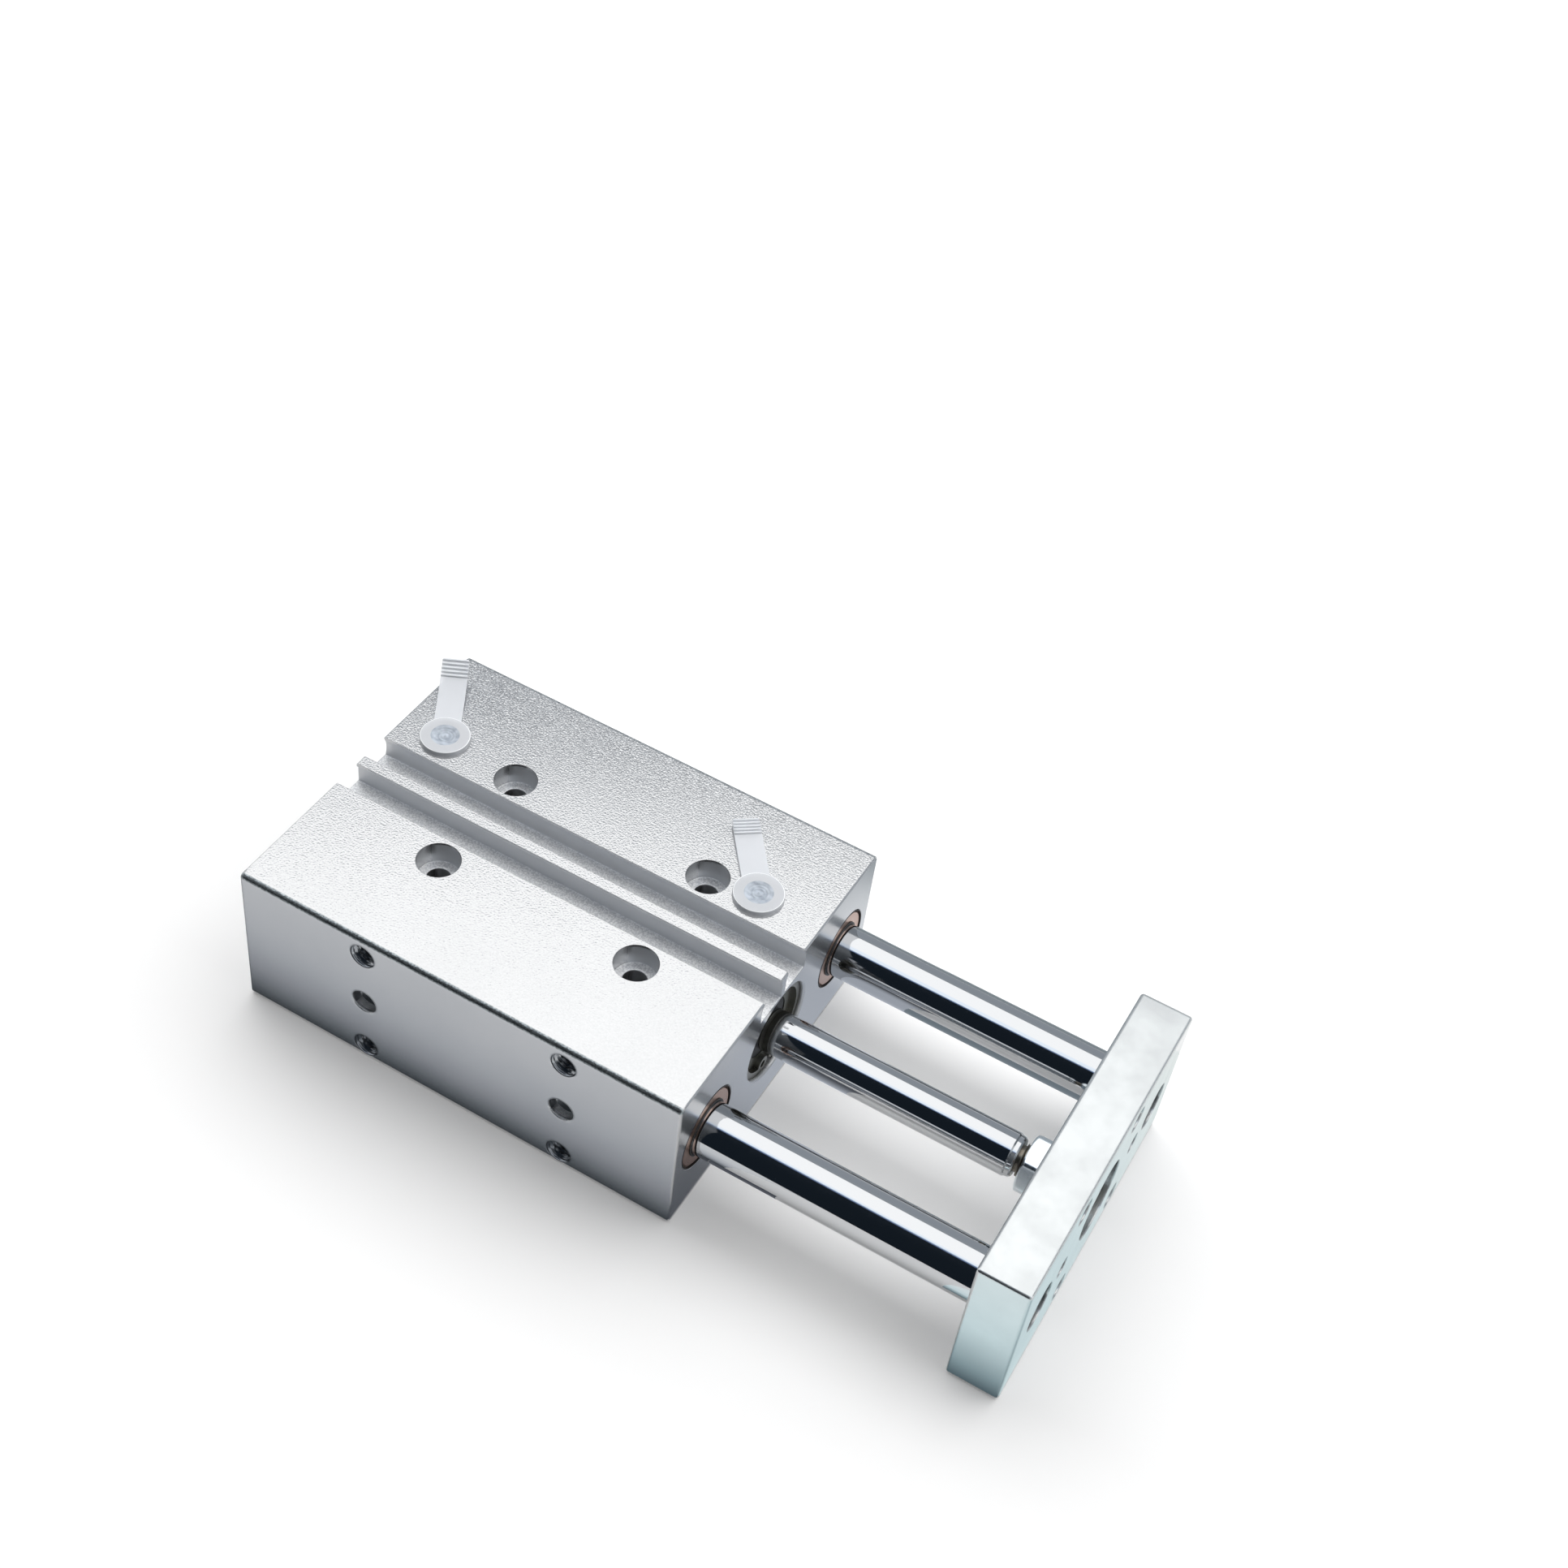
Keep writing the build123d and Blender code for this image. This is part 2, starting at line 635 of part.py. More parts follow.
# End plate
screw_seat = plate_front - screw_head_h - screw_recess_extra
with BuildPart() as end_plate:
    with Locations(facing_x(plate_rear, z=plate_mid_z)):
        Box(plate_width, plate_height, plate_thickness, align=along_x)
    fillet(end_plate.edges(), plate_edge_r)
    with Locations(facing_x(plate_front)):
        CounterBoreHole(
            stud_d / 2 + running_gap,
            plate_rod_recess_d / 2,
            plate_thickness - plate_rod_web,
            plate_thickness,
        )
    with Locations(*[facing_x(plate_front, side_y, guide_z) for side_y in guide_sides.values()]):
        CounterBoreHole(
            screw_d / 2 + loose_gap,
            screw_recess_d / 2,
            plate_front - screw_seat,
            plate_thickness,
        )
    with Locations(facing_x(plate_front, z=plate_mid_z)):
        with GridLocations(plate_thread_pitch_y, plate_thread_pitch_z, 2, 2):
            Hole(plate_thread_d / 2, depth=plate_thickness)
        with GridLocations(plate_dowel_pitch, 0, 2, 1):
            Hole(plate_dowel_d / 2, depth=plate_thickness)
save(end_plate.part, "end_plate")

# Two socket head screws, from the plate into the guide rods
with BuildPart() as guide_rod_screws:
    screw_planes = [facing_x(screw_seat, side_y, guide_z) for side_y in guide_sides.values()]
    with Locations(*screw_planes):
        Cylinder(screw_head_d / 2, screw_head_h, align=along_x)
    chamfer(guide_rod_screws.edges().group_by(Axis.X)[-1], screw_head_chamfer)
    screw_length = screw_seat - plate_rear + screw_grip
    with Locations(*[plane.offset(-screw_length) for plane in screw_planes]):
        Cylinder(screw_d / 2, screw_length, align=along_x)
    with BuildSketch(*[plane.offset(screw_head_h) for plane in screw_planes]):
        RegularPolygon(screw_socket_af / 2, 6, major_radius=False)
    extrude(amount=-screw_socket_depth, mode=Mode.SUBTRACT)
save(guide_rod_screws.part, "guide_rod_screws")

# Dust caps
save(port_cap(rear_port_x, rear_strap_angle, rear_strap_rise), "rear_port_cap")
save(port_cap(front_port_x, front_strap_angle, front_strap_rise), "front_port_cap")
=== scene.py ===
# %% [markdown]
# # Dressing a guided pneumatic cylinder
# A small guided cylinder is mostly bare metal: a blasted and anodised housing, three bright rods and
# a zinc plated end plate. The CAD model already has every piece in its right place, so this lesson
# adds what a machine shop adds: finishes, screw threads, drill points and moulded dust caps. Metal
# looks right only when it has something to mirror, so the studio around it matters as much.

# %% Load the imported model
import json
import math

import bpy
import numpy as np
from mathutils import Matrix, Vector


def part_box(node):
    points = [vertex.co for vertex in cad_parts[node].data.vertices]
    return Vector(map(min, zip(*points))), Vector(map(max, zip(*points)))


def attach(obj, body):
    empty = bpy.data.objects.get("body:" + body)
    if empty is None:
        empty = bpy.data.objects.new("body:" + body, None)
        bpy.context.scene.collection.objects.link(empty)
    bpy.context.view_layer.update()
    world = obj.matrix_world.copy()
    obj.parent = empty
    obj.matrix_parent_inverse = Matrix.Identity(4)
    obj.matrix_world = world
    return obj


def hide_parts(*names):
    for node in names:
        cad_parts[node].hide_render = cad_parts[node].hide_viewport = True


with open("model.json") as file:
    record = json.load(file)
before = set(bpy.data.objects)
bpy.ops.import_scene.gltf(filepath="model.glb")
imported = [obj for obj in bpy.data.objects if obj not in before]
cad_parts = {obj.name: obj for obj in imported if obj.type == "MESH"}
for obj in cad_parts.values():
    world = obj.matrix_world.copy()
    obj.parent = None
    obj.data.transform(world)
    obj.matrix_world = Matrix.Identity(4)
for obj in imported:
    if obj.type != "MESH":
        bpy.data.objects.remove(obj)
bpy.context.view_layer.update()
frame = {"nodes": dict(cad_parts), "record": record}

MM = 0.001
body_low, body_high = (np.array(corner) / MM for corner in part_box("cylinder_body"))
plate_low, plate_high = (np.array(corner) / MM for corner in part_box("end_plate"))
print("body in mm:", body_low.round(2), body_high.round(2))
print("plate in mm:", plate_low.round(2), plate_high.round(2))

# %% [markdown]
# ## The camera
# The picture was taken from close by, above the near front corner, so the perspective is strong. A
# camera can be aimed with Euler angles or with its three directions. The directions are easier to
# check: right, down and forward are unit vectors, and Blender's camera looks along its own -Z.

# %% Place the camera
right = np.array([0.8648371, 0.4908312, 0.1055534])
down = np.array([0.4186809, -0.5890764, -0.6911551])
forward = np.array([-0.2770614, 0.6419298, -0.7149568])
eye = np.array([0.1338855, -0.2244859, 0.3257443])
SENSOR_MM, LENS_MM, CLIP_NEAR, CLIP_FAR = 36.0, 51.518, 0.01, 20.0

placing = np.eye(4)
placing[:3, :4] = np.column_stack([right, -down, -forward, eye])
camera = bpy.data.objects.new("camera", bpy.data.cameras.new("camera"))
bpy.context.scene.collection.objects.link(camera)
camera.matrix_world = Matrix(placing.tolist())
camera.data.sensor_width, camera.data.lens = SENSOR_MM, LENS_MM
camera.data.clip_start, camera.data.clip_end = CLIP_NEAR, CLIP_FAR
bpy.context.scene.camera = camera
bpy.context.scene.view_settings.view_transform = "Standard"
print("camera is", round(float(np.linalg.norm(eye)), 3), "m from the origin")

# %% [markdown]
# ## Node trees by the line
# Every finish here is one Principled shader with noise behind its colour, roughness and bump. Nodes
# can be dragged together by hand, but a class that adds and joins them keeps a finish a few lines
# long and the same every time. All patterns read Object coordinates, which are metres in the model's
# own frame, so a grain size is written in millimetres.

# %% A helper for node trees
class Nodes:
    """Adds nodes to one tree and joins them. Where a source is wanted, a plain number does too."""

    def __init__(self, tree):
        self.tree = tree
        self.tree.nodes.clear()

    def add(self, kind, **settings):
        """A new shader node of that kind, with its settings."""
        node = self.tree.nodes.new("ShaderNode" + kind)
        for key, value in settings.items():
            setattr(node, key, value)
        return node

    def join(self, source, target):
        """Joins an output to an input, or writes a number or colour into the input."""
        if isinstance(source, bpy.types.NodeSocket):
            self.tree.links.new(source, target)
        else:
            target.default_value = source

    def math(self, operation, a, b=0.0):
        """One operation on two values."""
        node = self.add("Math", operation=operation)
        self.join(a, node.inputs[0])
        self.join(b, node.inputs[1])
        return node.outputs["Value"]

    def remap(self, value, low, high, to_low=0.0, to_high=1.0):
        """Carries low..high to to_low..to_high and holds it there."""
        node = self.add("MapRange")
        for name, source in zip(("Value", "From Min", "From Max", "To Min", "To Max"),
                                (value, low, high, to_low, to_high)):
            self.join(source, node.inputs[name])
        return node.outputs["Result"]

    def fade(self, place, low_mm, high_mm, to_low=0.0, to_high=1.0):
        """The same for a place, with the range in millimetres."""
        return self.remap(place, low_mm * MM, high_mm * MM, to_low, to_high)

    def mix(self, share, first, second):
        """The colour that lies by share between two others."""
        node = self.add("Mix", data_type="RGBA")
        self.join(share, node.inputs["Factor"])
        pair = [s for s in node.inputs if s.type == "RGBA"]
        for socket, colour in zip(pair, (first, second)):
            self.join((*colour, 1.0) if isinstance(colour, tuple) else colour, socket)
        return [s for s in node.outputs if s.type == "RGBA"][0]

    def seen_directly(self):
        """1 for camera, glossy and transmission rays, 0 for the rays that only light things."""
        path = self.add("LightPath").outputs
        mirrored = self.math("MAXIMUM", path["Is Glossy Ray"], path["Is Transmission Ray"])
        return self.math("MAXIMUM", path["Is Camera Ray"], mirrored)


# %% A helper for finishes
class Finish(Nodes):
    """One material: a Principled shader, its constants and the patterns that drive it."""

    def __init__(self, name, constants):
        self.material = bpy.data.materials.new(name)
        self.material.use_nodes = True
        super().__init__(self.material.node_tree)
        self.shader = self.add("BsdfPrincipled")
        self.join(self.shader.outputs["BSDF"], self.add("OutputMaterial").inputs["Surface"])
        coordinates = self.add("TexCoord")
        self.place, self.facing = coordinates.outputs["Object"], coordinates.outputs["Normal"]
        self.set(constants)

    def set(self, sources):
        """Joins sources, or writes numbers, to the shader's sockets."""
        for name, source in sources.items():
            self.join(source, self.shader.inputs[name])
        return self

    def parts_of(self, vector):
        """The x, y and z of a vector."""
        split = self.add("SeparateXYZ")
        self.join(vector, split.inputs[0])
        return split.outputs

    def facing_along(self, axis):
        """1 on faces that look up or down that axis, 0 on the others."""
        return self.remap(self.math("ABSOLUTE", self.parts_of(self.facing)[axis]), 0.6, 0.8)

    def noise(self, size_mm, detail=2.0, stretch=(1, 1, 1)):
        """Noise with grains of about size_mm, longer by stretch along each axis."""
        mapping = self.add("Mapping")
        mapping.inputs["Scale"].default_value = [1 / (size_mm * MM * s) for s in stretch]
        texture = self.add("TexNoise")
        texture.inputs["Scale"].default_value = 1.0
        texture.inputs["Detail"].default_value = detail
        self.join(self.place, mapping.inputs["Vector"])
        self.join(mapping.outputs["Vector"], texture.inputs["Vector"])
        return texture.outputs["Fac"]

    def bump(self, height, depth_mm, strength=1.0, under=None):
        """A bump: height 1 stands depth_mm above height 0."""
        node = self.add("Bump")
        node.inputs["Distance"].default_value = depth_mm * MM
        self.join(strength, node.inputs["Strength"])
        self.join(height, node.inputs["Height"])
        if under is not None:
            self.join(under, node.inputs["Normal"])
        return node.outputs["Normal"]

    def broken_edges(self, radius):
        """Normals that turn softly over every edge, as if it were broken to that radius in metres."""
        node = self.add("Bevel", samples=6)
        self.join(radius, node.inputs["Radius"])
        return node.outputs["Normal"]


# %% [markdown]
# ## The studio
# Polished steel shows the room, so the room is part of the look. Here it is one wide soft light above
# and beyond the object, a pale table, a grey far wall and, at the camera's back, a room that is dark
# in its middle: that is why every rod has a white band and then a black one. The walls are seen only
# in gloss. The table is pale paper, topped up to white for the rays that see it, and more so far
# away, where less light falls. It still takes the shadow.

# %% Table and world
def stage_piece(name, points, faces, material):
    """A mesh that belongs to the studio and not to the object."""
    mesh = bpy.data.meshes.new(name)
    mesh.from_pydata([tuple(map(float, p)) for p in points], [], [tuple(map(int, f)) for f in faces])
    mesh.materials.append(material)
    piece = bpy.data.objects.new(name, mesh)
    bpy.context.scene.collection.objects.link(piece)
    return piece


PAPER_TOP_UP, FAR_TOP_UP = 0.16, 0.9
TOP_UP_STARTS, TOP_UP_ENDS, TABLE_REACH = 0.45, 2.2, 4.0
paper = Finish("pale_paper", {"Base Color": (0.8, 0.8, 0.8, 1), "Roughness": 0.9,
                              "Specular IOR Level": 0.0, "Emission Color": (1, 1, 1, 1)})
spread = paper.add("VectorMath", operation="LENGTH")
paper.join(paper.place, spread.inputs[0])
top_up = paper.remap(spread.outputs["Value"], TOP_UP_STARTS, TOP_UP_ENDS, PAPER_TOP_UP, FAR_TOP_UP)
paper.set({"Emission Strength": paper.math("MULTIPLY", paper.seen_directly(), top_up)})
table_corners = [(i * TABLE_REACH, j * TABLE_REACH, 0) for i, j in ((-1, -1), (1, -1), (1, 1), (-1, 1))]
stage_piece("table", table_corners, [(0, 1, 2, 3)], paper.material)

NEAR_FILL, FAR_FILL, FILL_BLEND = 0.06, 0.95, 0.35
world = bpy.data.worlds.new("studio")
bpy.context.scene.world = world
world.use_nodes = True
sky = Nodes(world.node_tree)
backdrop = sky.add("Background")
direction = sky.add("SeparateXYZ")
sky.join(sky.add("TexCoord").outputs["Generated"], direction.inputs[0])
fill = sky.remap(direction.outputs["Y"], -FILL_BLEND, FILL_BLEND, NEAR_FILL, FAR_FILL)
sky.join(sky.remap(sky.seen_directly(), 0, 1, fill, 1.0), backdrop.inputs["Strength"])
sky.join((1, 1, 1, 1), backdrop.inputs["Color"])
sky.join(backdrop.outputs[0], sky.add("OutputWorld").inputs["Surface"])
print("table reaches", TABLE_REACH, "m; fill is", NEAR_FILL, "near and", FAR_FILL, "far")

# %% Helpers for walls that glow
def emitter(name):
    """A material that only glows, with its maker and the node that glows."""
    material = bpy.data.materials.new(name)
    material.use_nodes = True
    maker = Nodes(material.node_tree)
    glow = maker.add("Emission")
    maker.join(glow.outputs[0], maker.add("OutputMaterial").inputs["Surface"])
    return material, maker, glow


def glowing(name, colour):
    """A glow of one colour."""
    material, maker, glow = emitter(name)
    maker.join((*colour, 1), glow.inputs["Color"])
    return material


def shaded_glow(name, stops_mm, axis="Y"):
    """A glow whose colour runs through stops of (place along the axis in millimetres, colour)."""
    material, maker, glow = emitter(name)
    split = maker.add("SeparateXYZ")
    maker.join(maker.add("TexCoord").outputs["Object"], split.inputs[0])
    first, last = stops_mm[0][0], stops_mm[-1][0]
    ramp = maker.add("ValToRGB")
    elements = ramp.color_ramp.elements
    for position, colour in stops_mm[1:-1]:
        elements.new((position - first) / (last - first)).color = (*colour, 1)
    elements[0].color, elements[-1].color = (*stops_mm[0][1], 1), (*stops_mm[-1][1], 1)
    maker.join(maker.fade(split.outputs[axis], first, last), ramp.inputs[0])
    maker.join(ramp.outputs["Color"], glow.inputs["Color"])
    return material


# %% Walls that only gloss can see
LIGHT_HEIGHT, LIGHT_LOW_ANGLE, LIGHT_HIGH_ANGLE = 1.2, 44.0, 98.5
HALF_LENGTH, ROD_HEIGHT, WALL_DISTANCE = 3.0, 0.016, 1.6
DARK, GREY_CORNER = (0.012, 0.018, 0.026), (0.62, 0.65, 0.68)


def studio_wall(name, profile, material):
    """A wall along the x axis: each (y, z) point of the profile is carried over the studio's length."""
    profile = np.array(profile, float)
    count = len(profile)
    ends = [np.column_stack([np.full(count, x), profile]) for x in (-HALF_LENGTH, HALF_LENGTH)]
    faces = [(i, i + 1, count + i + 1, count + i) for i in range(count - 1)]
    wall = stage_piece(name, np.vstack(ends), faces, material)
    wall.visible_camera = wall.visible_diffuse = wall.visible_shadow = False
    wall.visible_transmission = False


def out_at(degrees, distance=WALL_DISTANCE):
    """The (y, z) point at that angle from the far horizon, seen from the rods."""
    angle = math.radians(degrees)
    return distance * math.cos(angle), ROD_HEIGHT + distance * math.sin(angle)


dark_profile = [(-0.16, 0.0), (-0.17, 0.1), (-0.22, 0.31), (-0.122, 0.31)]
dark_stops = [(-330, GREY_CORNER), (-120, DARK), (100, DARK), (230, GREY_CORNER)]
studio_wall("dark_room", dark_profile, shaded_glow("dark_room", dark_stops, "X"))
for name, profile, colour in (
        ("blue_edge", [(-0.122, 0.31), (-0.098, 0.31)], (0.26, 0.36, 0.60)),
        ("ceiling_edge", [out_at(125, 1.5), out_at(98.0, 1.25)], (1.45, 1.58, 1.72)),
        ("far_wall_low", [out_at(0), out_at(8)], (0.46, 0.49, 0.53)),
        ("far_wall", [out_at(8), out_at(38)], (0.42, 0.46, 0.51)),
        ("far_wall_top", [out_at(38), out_at(47)], (0.44, 0.48, 0.52))):
    studio_wall(name, profile, glowing(name, colour))
print("far wall stands", WALL_DISTANCE, "m away; the dark room starts at", dark_profile[0][0], "m")

# %% [markdown]
# ## Cards that carry painted shade for what the metal mirrors
# A shiny part is shaded by what lies beside it, so glowing cards lie just over the table, each graded
# so that a face mirrors the tone it should have: painted shade and painted reflections. The near long
# side darkens downwards, since the table close to it lies in shadow, and the front face is darkest at
# its near end. Only gloss sees these cards, so the table itself stays white.

# %% Lay the cards
CARD_HEIGHT, FAR_GREY, FAR_END = 0.8, (0.33, 0.38, 0.41), 1500


def studio_card(name, corners, material):
    """A flat card, seen in gloss alone."""
    card = stage_piece(name, corners, [tuple(range(len(corners)))], material)
    card.visible_camera = card.visible_diffuse = card.visible_shadow = card.visible_transmission = False


def on_table(name, x_mm, stops_mm):
    """A glowing card just over the table, seen in gloss alone, over a range of x, as deep in y as its stops
    reach: its glow is painted shade.
    """
    y_mm = (stops_mm[0][0], stops_mm[-1][0])
    corners = [(x_mm[0], y_mm[0]), (x_mm[1], y_mm[0]), (x_mm[1], y_mm[1]), (x_mm[0], y_mm[1])]
    studio_card(name, [(x * MM, y * MM, CARD_HEIGHT * MM) for x, y in corners], shaded_glow(name, stops_mm))


on_table("painted_shade_beside_body", (-90, 45.5), [
    (-160, (0.98, 0.99, 1.0)), (-62, (0.93, 0.95, 0.97)), (-49, (0.78, 0.80, 0.83)),
    (-43, (0.62, 0.65, 0.69)), (-38.5, (0.40, 0.42, 0.46)), (-35.5, (0.17, 0.19, 0.21)),
    (-33.7, (0.05, 0.06, 0.07))])
on_table("painted_shade_beside_plate", (88, 140), [
    (-160, (1.1, 1.22, 1.24)), (-54, (1.15, 1.27, 1.29)), (-42, (0.96, 1.14, 1.18)),
    (-35.4, (0.36, 0.48, 0.52)), (-32.8, (0.12, 0.17, 0.20))])
on_table("painted_shade_before_body", (42.7, 56), [
    (-33.7, (0.10, 0.11, 0.13)), (-20, (0.16, 0.17, 0.19)), (-8, (0.44, 0.47, 0.52)),
    (0, (0.58, 0.62, 0.69)), (28, (0.56, 0.60, 0.67)), (36, (1.05, 1.08, 1.12)),
    (48, (1.05, 1.08, 1.12)), (62, (0.35, 0.40, 0.43)), (FAR_END, FAR_GREY)])
on_table("painted_shade_before_plate", (105, 150), [
    (-60, (0.62, 0.79, 0.83)), (0, (0.74, 0.87, 0.90)), (50, (0.98, 1.03, 1.02))])
on_table("painted_shade_under_rods", (56, 94), [
    (8, (0.26, 0.31, 0.35)), (20, (0.27, 0.32, 0.36)), (34, (0.42, 0.46, 0.49)),
    (60, FAR_GREY), (FAR_END, FAR_GREY)])
on_table("painted_shade_beyond_body", (-3000, 42.7), [(40, (0.50, 0.55, 0.59)), (60, FAR_GREY), (FAR_END, FAR_GREY)])

# %% [markdown]
# ## The ceiling light
# One lamp can't suit dull and bright surfaces alike, so the light is split. The lamp lights the dull
# ones and is hidden from gloss. What the bright ones mirror is a glowing panel in the same place, a
# little weaker, so that the top stays just short of white. Its far side is cut at a slant, and beyond
# it the ceiling is grey: that is why the far rear corner of the top is darker.

# %% Hang the light
LIGHT_RADIANCE, PANEL_RADIANCE = 1.82, 1.72
LAMP_LENGTH, LAMP_X, LAMP_ABOVE = 3.2, -0.2, 0.02
SLANT, SLANT_Y, CEILING_END = 0.40, 1.215, 4.0
near_edge = LIGHT_HEIGHT / math.tan(math.radians(LIGHT_HIGH_ANGLE))
far_edge = LIGHT_HEIGHT / math.tan(math.radians(LIGHT_LOW_ANGLE))
lamp_data = bpy.data.lights.new("ceiling_light", "AREA")
lamp_data.shape = "RECTANGLE"
lamp_data.size, lamp_data.size_y = LAMP_LENGTH, far_edge - near_edge
lamp_data.energy = LIGHT_RADIANCE * math.pi * lamp_data.size * lamp_data.size_y
lamp = bpy.data.objects.new("ceiling_light", lamp_data)
lamp.location = (LAMP_X, (near_edge + far_edge) / 2, LIGHT_HEIGHT + LAMP_ABOVE)
lamp.visible_camera = lamp.visible_glossy = False
bpy.context.scene.collection.objects.link(lamp)

near_corners = [(x, near_edge, LIGHT_HEIGHT) for x in (-HALF_LENGTH, HALF_LENGTH)]
slant = [(x, SLANT_Y + SLANT * x, LIGHT_HEIGHT) for x in (HALF_LENGTH, -HALF_LENGTH)]
far_corners = [(x, CEILING_END, LIGHT_HEIGHT) for x in (HALF_LENGTH, -HALF_LENGTH)]
studio_card("light_panel", near_corners + slant, glowing("light_panel", (PANEL_RADIANCE,) * 3))
studio_card("grey_ceiling", slant[::-1] + far_corners, glowing("grey_ceiling", (0.33, 0.37, 0.42)))
print("ceiling light:", round(lamp_data.size_y, 3), "m deep,", round(lamp_data.energy, 1), "W")

# %% [markdown]
# ## Blasted and anodised aluminium
# The housing is cut from an extrusion, blasted with fine grit and anodised. Seen along the light it
# is an even satin, and across it the pits sparkle. Bump alone could make the sparkle, but it is lost
# when the picture's noise is taken out, so the sparkle is painted into the colour: a grain of painted
# glints, stronger away from the near side and towards the rear. One material serves the whole
# housing, and the first step is to tell its faces apart, by where they look and where they lie.

# %% Which kind of face a point lies on
TOP, SIDE = body_high[2], body_high[1]
anodised = Finish("blasted_anodised_aluminium", {})
x, y, z = anodised.parts_of(anodised.place)
from_middle = anodised.math("ABSOLUTE", y)


def near_face(place, face, out_mm, in_mm):
    """0 where the place is more than out_mm inside the face, 1 where it is less than in_mm inside."""
    return anodised.fade(place, face - out_mm, face - in_mm)


level, milled = anodised.facing_along("Z"), anodised.facing_along("X")
outside = anodised.math("MAXIMUM", near_face(from_middle, SIDE, 1.25, 0.25), near_face(z, TOP, 0.8, 0.3))
inside = anodised.math("SUBTRACT", 1.0, anodised.math("MAXIMUM", outside, milled))
floors = anodised.math("MULTIPLY", inside, level)
walls = anodised.math("SUBTRACT", inside, floors)

# %% Colour of the housing
GRAIN_GLINT_DARK, GRAIN_GLINT_LIGHT = (0.29, 0.295, 0.305), (0.74, 0.745, 0.75)
FLOOR_LIT_DARK, FLOOR_LIT_LIGHT, FLOOR_LIGHT_SHARE = (0.60, 0.61, 0.63), (0.93, 0.935, 0.94), 0.65
WALL_LIT_COLOUR, WALL_LIGHT_SHARE = (0.66, 0.67, 0.69), 0.5
CLOUD_SIZE, GRAIN_SIZE, SPARKLE_LEAST, SPARKLE_MOST, REARWARD = 14.0, 0.30, 0.05, 0.62, 0.2
cloud = anodised.noise(CLOUD_SIZE, detail=3.0)
clouded = anodised.remap(cloud, 0.35, 0.65)
grain = anodised.remap(anodised.noise(GRAIN_SIZE, detail=1.0), 0.39, 0.61)
side_colour = anodised.mix(clouded, (0.512, 0.518, 0.528), (0.532, 0.537, 0.545))
top_colour = anodised.mix(clouded, (0.574, 0.580, 0.586), (0.592, 0.597, 0.603))
# Painted sparkle: the grain in the colour stands for glints of the pits, and its share grows away from the
# near side and towards the rear.
away = anodised.math("SUBTRACT", y, anodised.math("MULTIPLY", x, REARWARD))
painted_sparkle_share = anodised.math("POWER", anodised.fade(away, -2, 31), 2.0)
painted_sparkle_share = anodised.remap(painted_sparkle_share, 0, 1, SPARKLE_LEAST, SPARKLE_MOST)
top_colour = anodised.mix(painted_sparkle_share, top_colour, anodised.mix(grain, GRAIN_GLINT_DARK, GRAIN_GLINT_LIGHT))
shade = anodised.mix(level, side_colour, top_colour)
# Painted light: the floors of the channel and the recesses, and their walls, are painted lighter, as if light
# fell in and lit them.
shade = anodised.mix(anodised.math("MULTIPLY", floors, FLOOR_LIGHT_SHARE), shade,
                     anodised.mix(grain, FLOOR_LIT_DARK, FLOOR_LIT_LIGHT))
shade = anodised.mix(anodised.math("MULTIPLY", walls, WALL_LIGHT_SHARE), shade, WALL_LIT_COLOUR)

# %% [markdown]
# ## Broken edges
# The long edges of the top are broken, and along them a narrow dark and grainy band is painted:
# painted shade for the dark room that a rounded edge mirrors, strongest on the near side. The near
# edge is the rounder one, and the seats deep in the recesses and the channel are soft too. A bevel
# could be cut into the mesh, but a CAD piece isn't changed here: the Bevel node turns the normals instead.

# %% Edges of the housing
EDGE_SHADE_DARK, EDGE_SHADE_LIGHT = (0.10, 0.12, 0.125), (0.36, 0.40, 0.41)
NEAR_RIM, FAR_RIM, SEAT_RIM = 0.70 * MM, 0.12 * MM, 0.45 * MM
# Painted shade: a dark band along the top's long edges, strongest on the near side.
edge_shade = anodised.math("MULTIPLY", near_face(from_middle, SIDE, 0.95, 0.75), near_face(z, TOP, 0.95, 0.75))
edge_shade = anodised.math("MULTIPLY", edge_shade, anodised.fade(y, -30, 30, 0.80, 0.35))
shade = anodised.mix(edge_shade, shade, anodised.mix(grain, EDGE_SHADE_DARK, EDGE_SHADE_LIGHT))
near_rim = anodised.fade(y, 1.35 - SIDE, 1.95 - SIDE, NEAR_RIM, FAR_RIM)
seats = anodised.math("MULTIPLY", anodised.fade(z, TOP - 4.2, TOP - 4.4),
                      anodised.fade(from_middle, 17.0, 16.5))
rim = anodised.math("MAXIMUM", near_rim, anodised.math("MULTIPLY", seats, SEAT_RIM))
edges = anodised.broken_edges(rim)

# %% [markdown]
# ## Pits, cutter marks and gloss
# The pits are deepest on level faces, shallow on the sides, and hardly there on the milled ends,
# where the cutter left its lines. The coat is not a full mirror either: level faces are partly dull,
# and the floors of the channel and of the recesses are duller still.

# %% Surface of the housing
PIT_SIZE, PIT_DEPTH, MARK_SIZE, MARK_DEPTH = 0.34, 0.024, 0.25, 0.006
pits = anodised.noise(PIT_SIZE, detail=0.5)
pitted = anodised.math("MULTIPLY", anodised.remap(level, 0, 1, 0.35, 1.0),
                       anodised.remap(milled, 0, 1, 1.0, 0.15))
cutter_marks = anodised.noise(MARK_SIZE, detail=1.0, stretch=(1, 40, 1))
under = anodised.bump(cutter_marks, MARK_DEPTH, anodised.math("MULTIPLY", milled, 0.35), edges)
roughness = anodised.remap(cloud, 0.3, 0.7, 0.19, 0.22)
for kind, rougher in ((level, -0.07), (floors, 0.30), (walls, 0.28), (milled, 0.05)):
    roughness = anodised.math("ADD", roughness, anodised.math("MULTIPLY", kind, rougher))
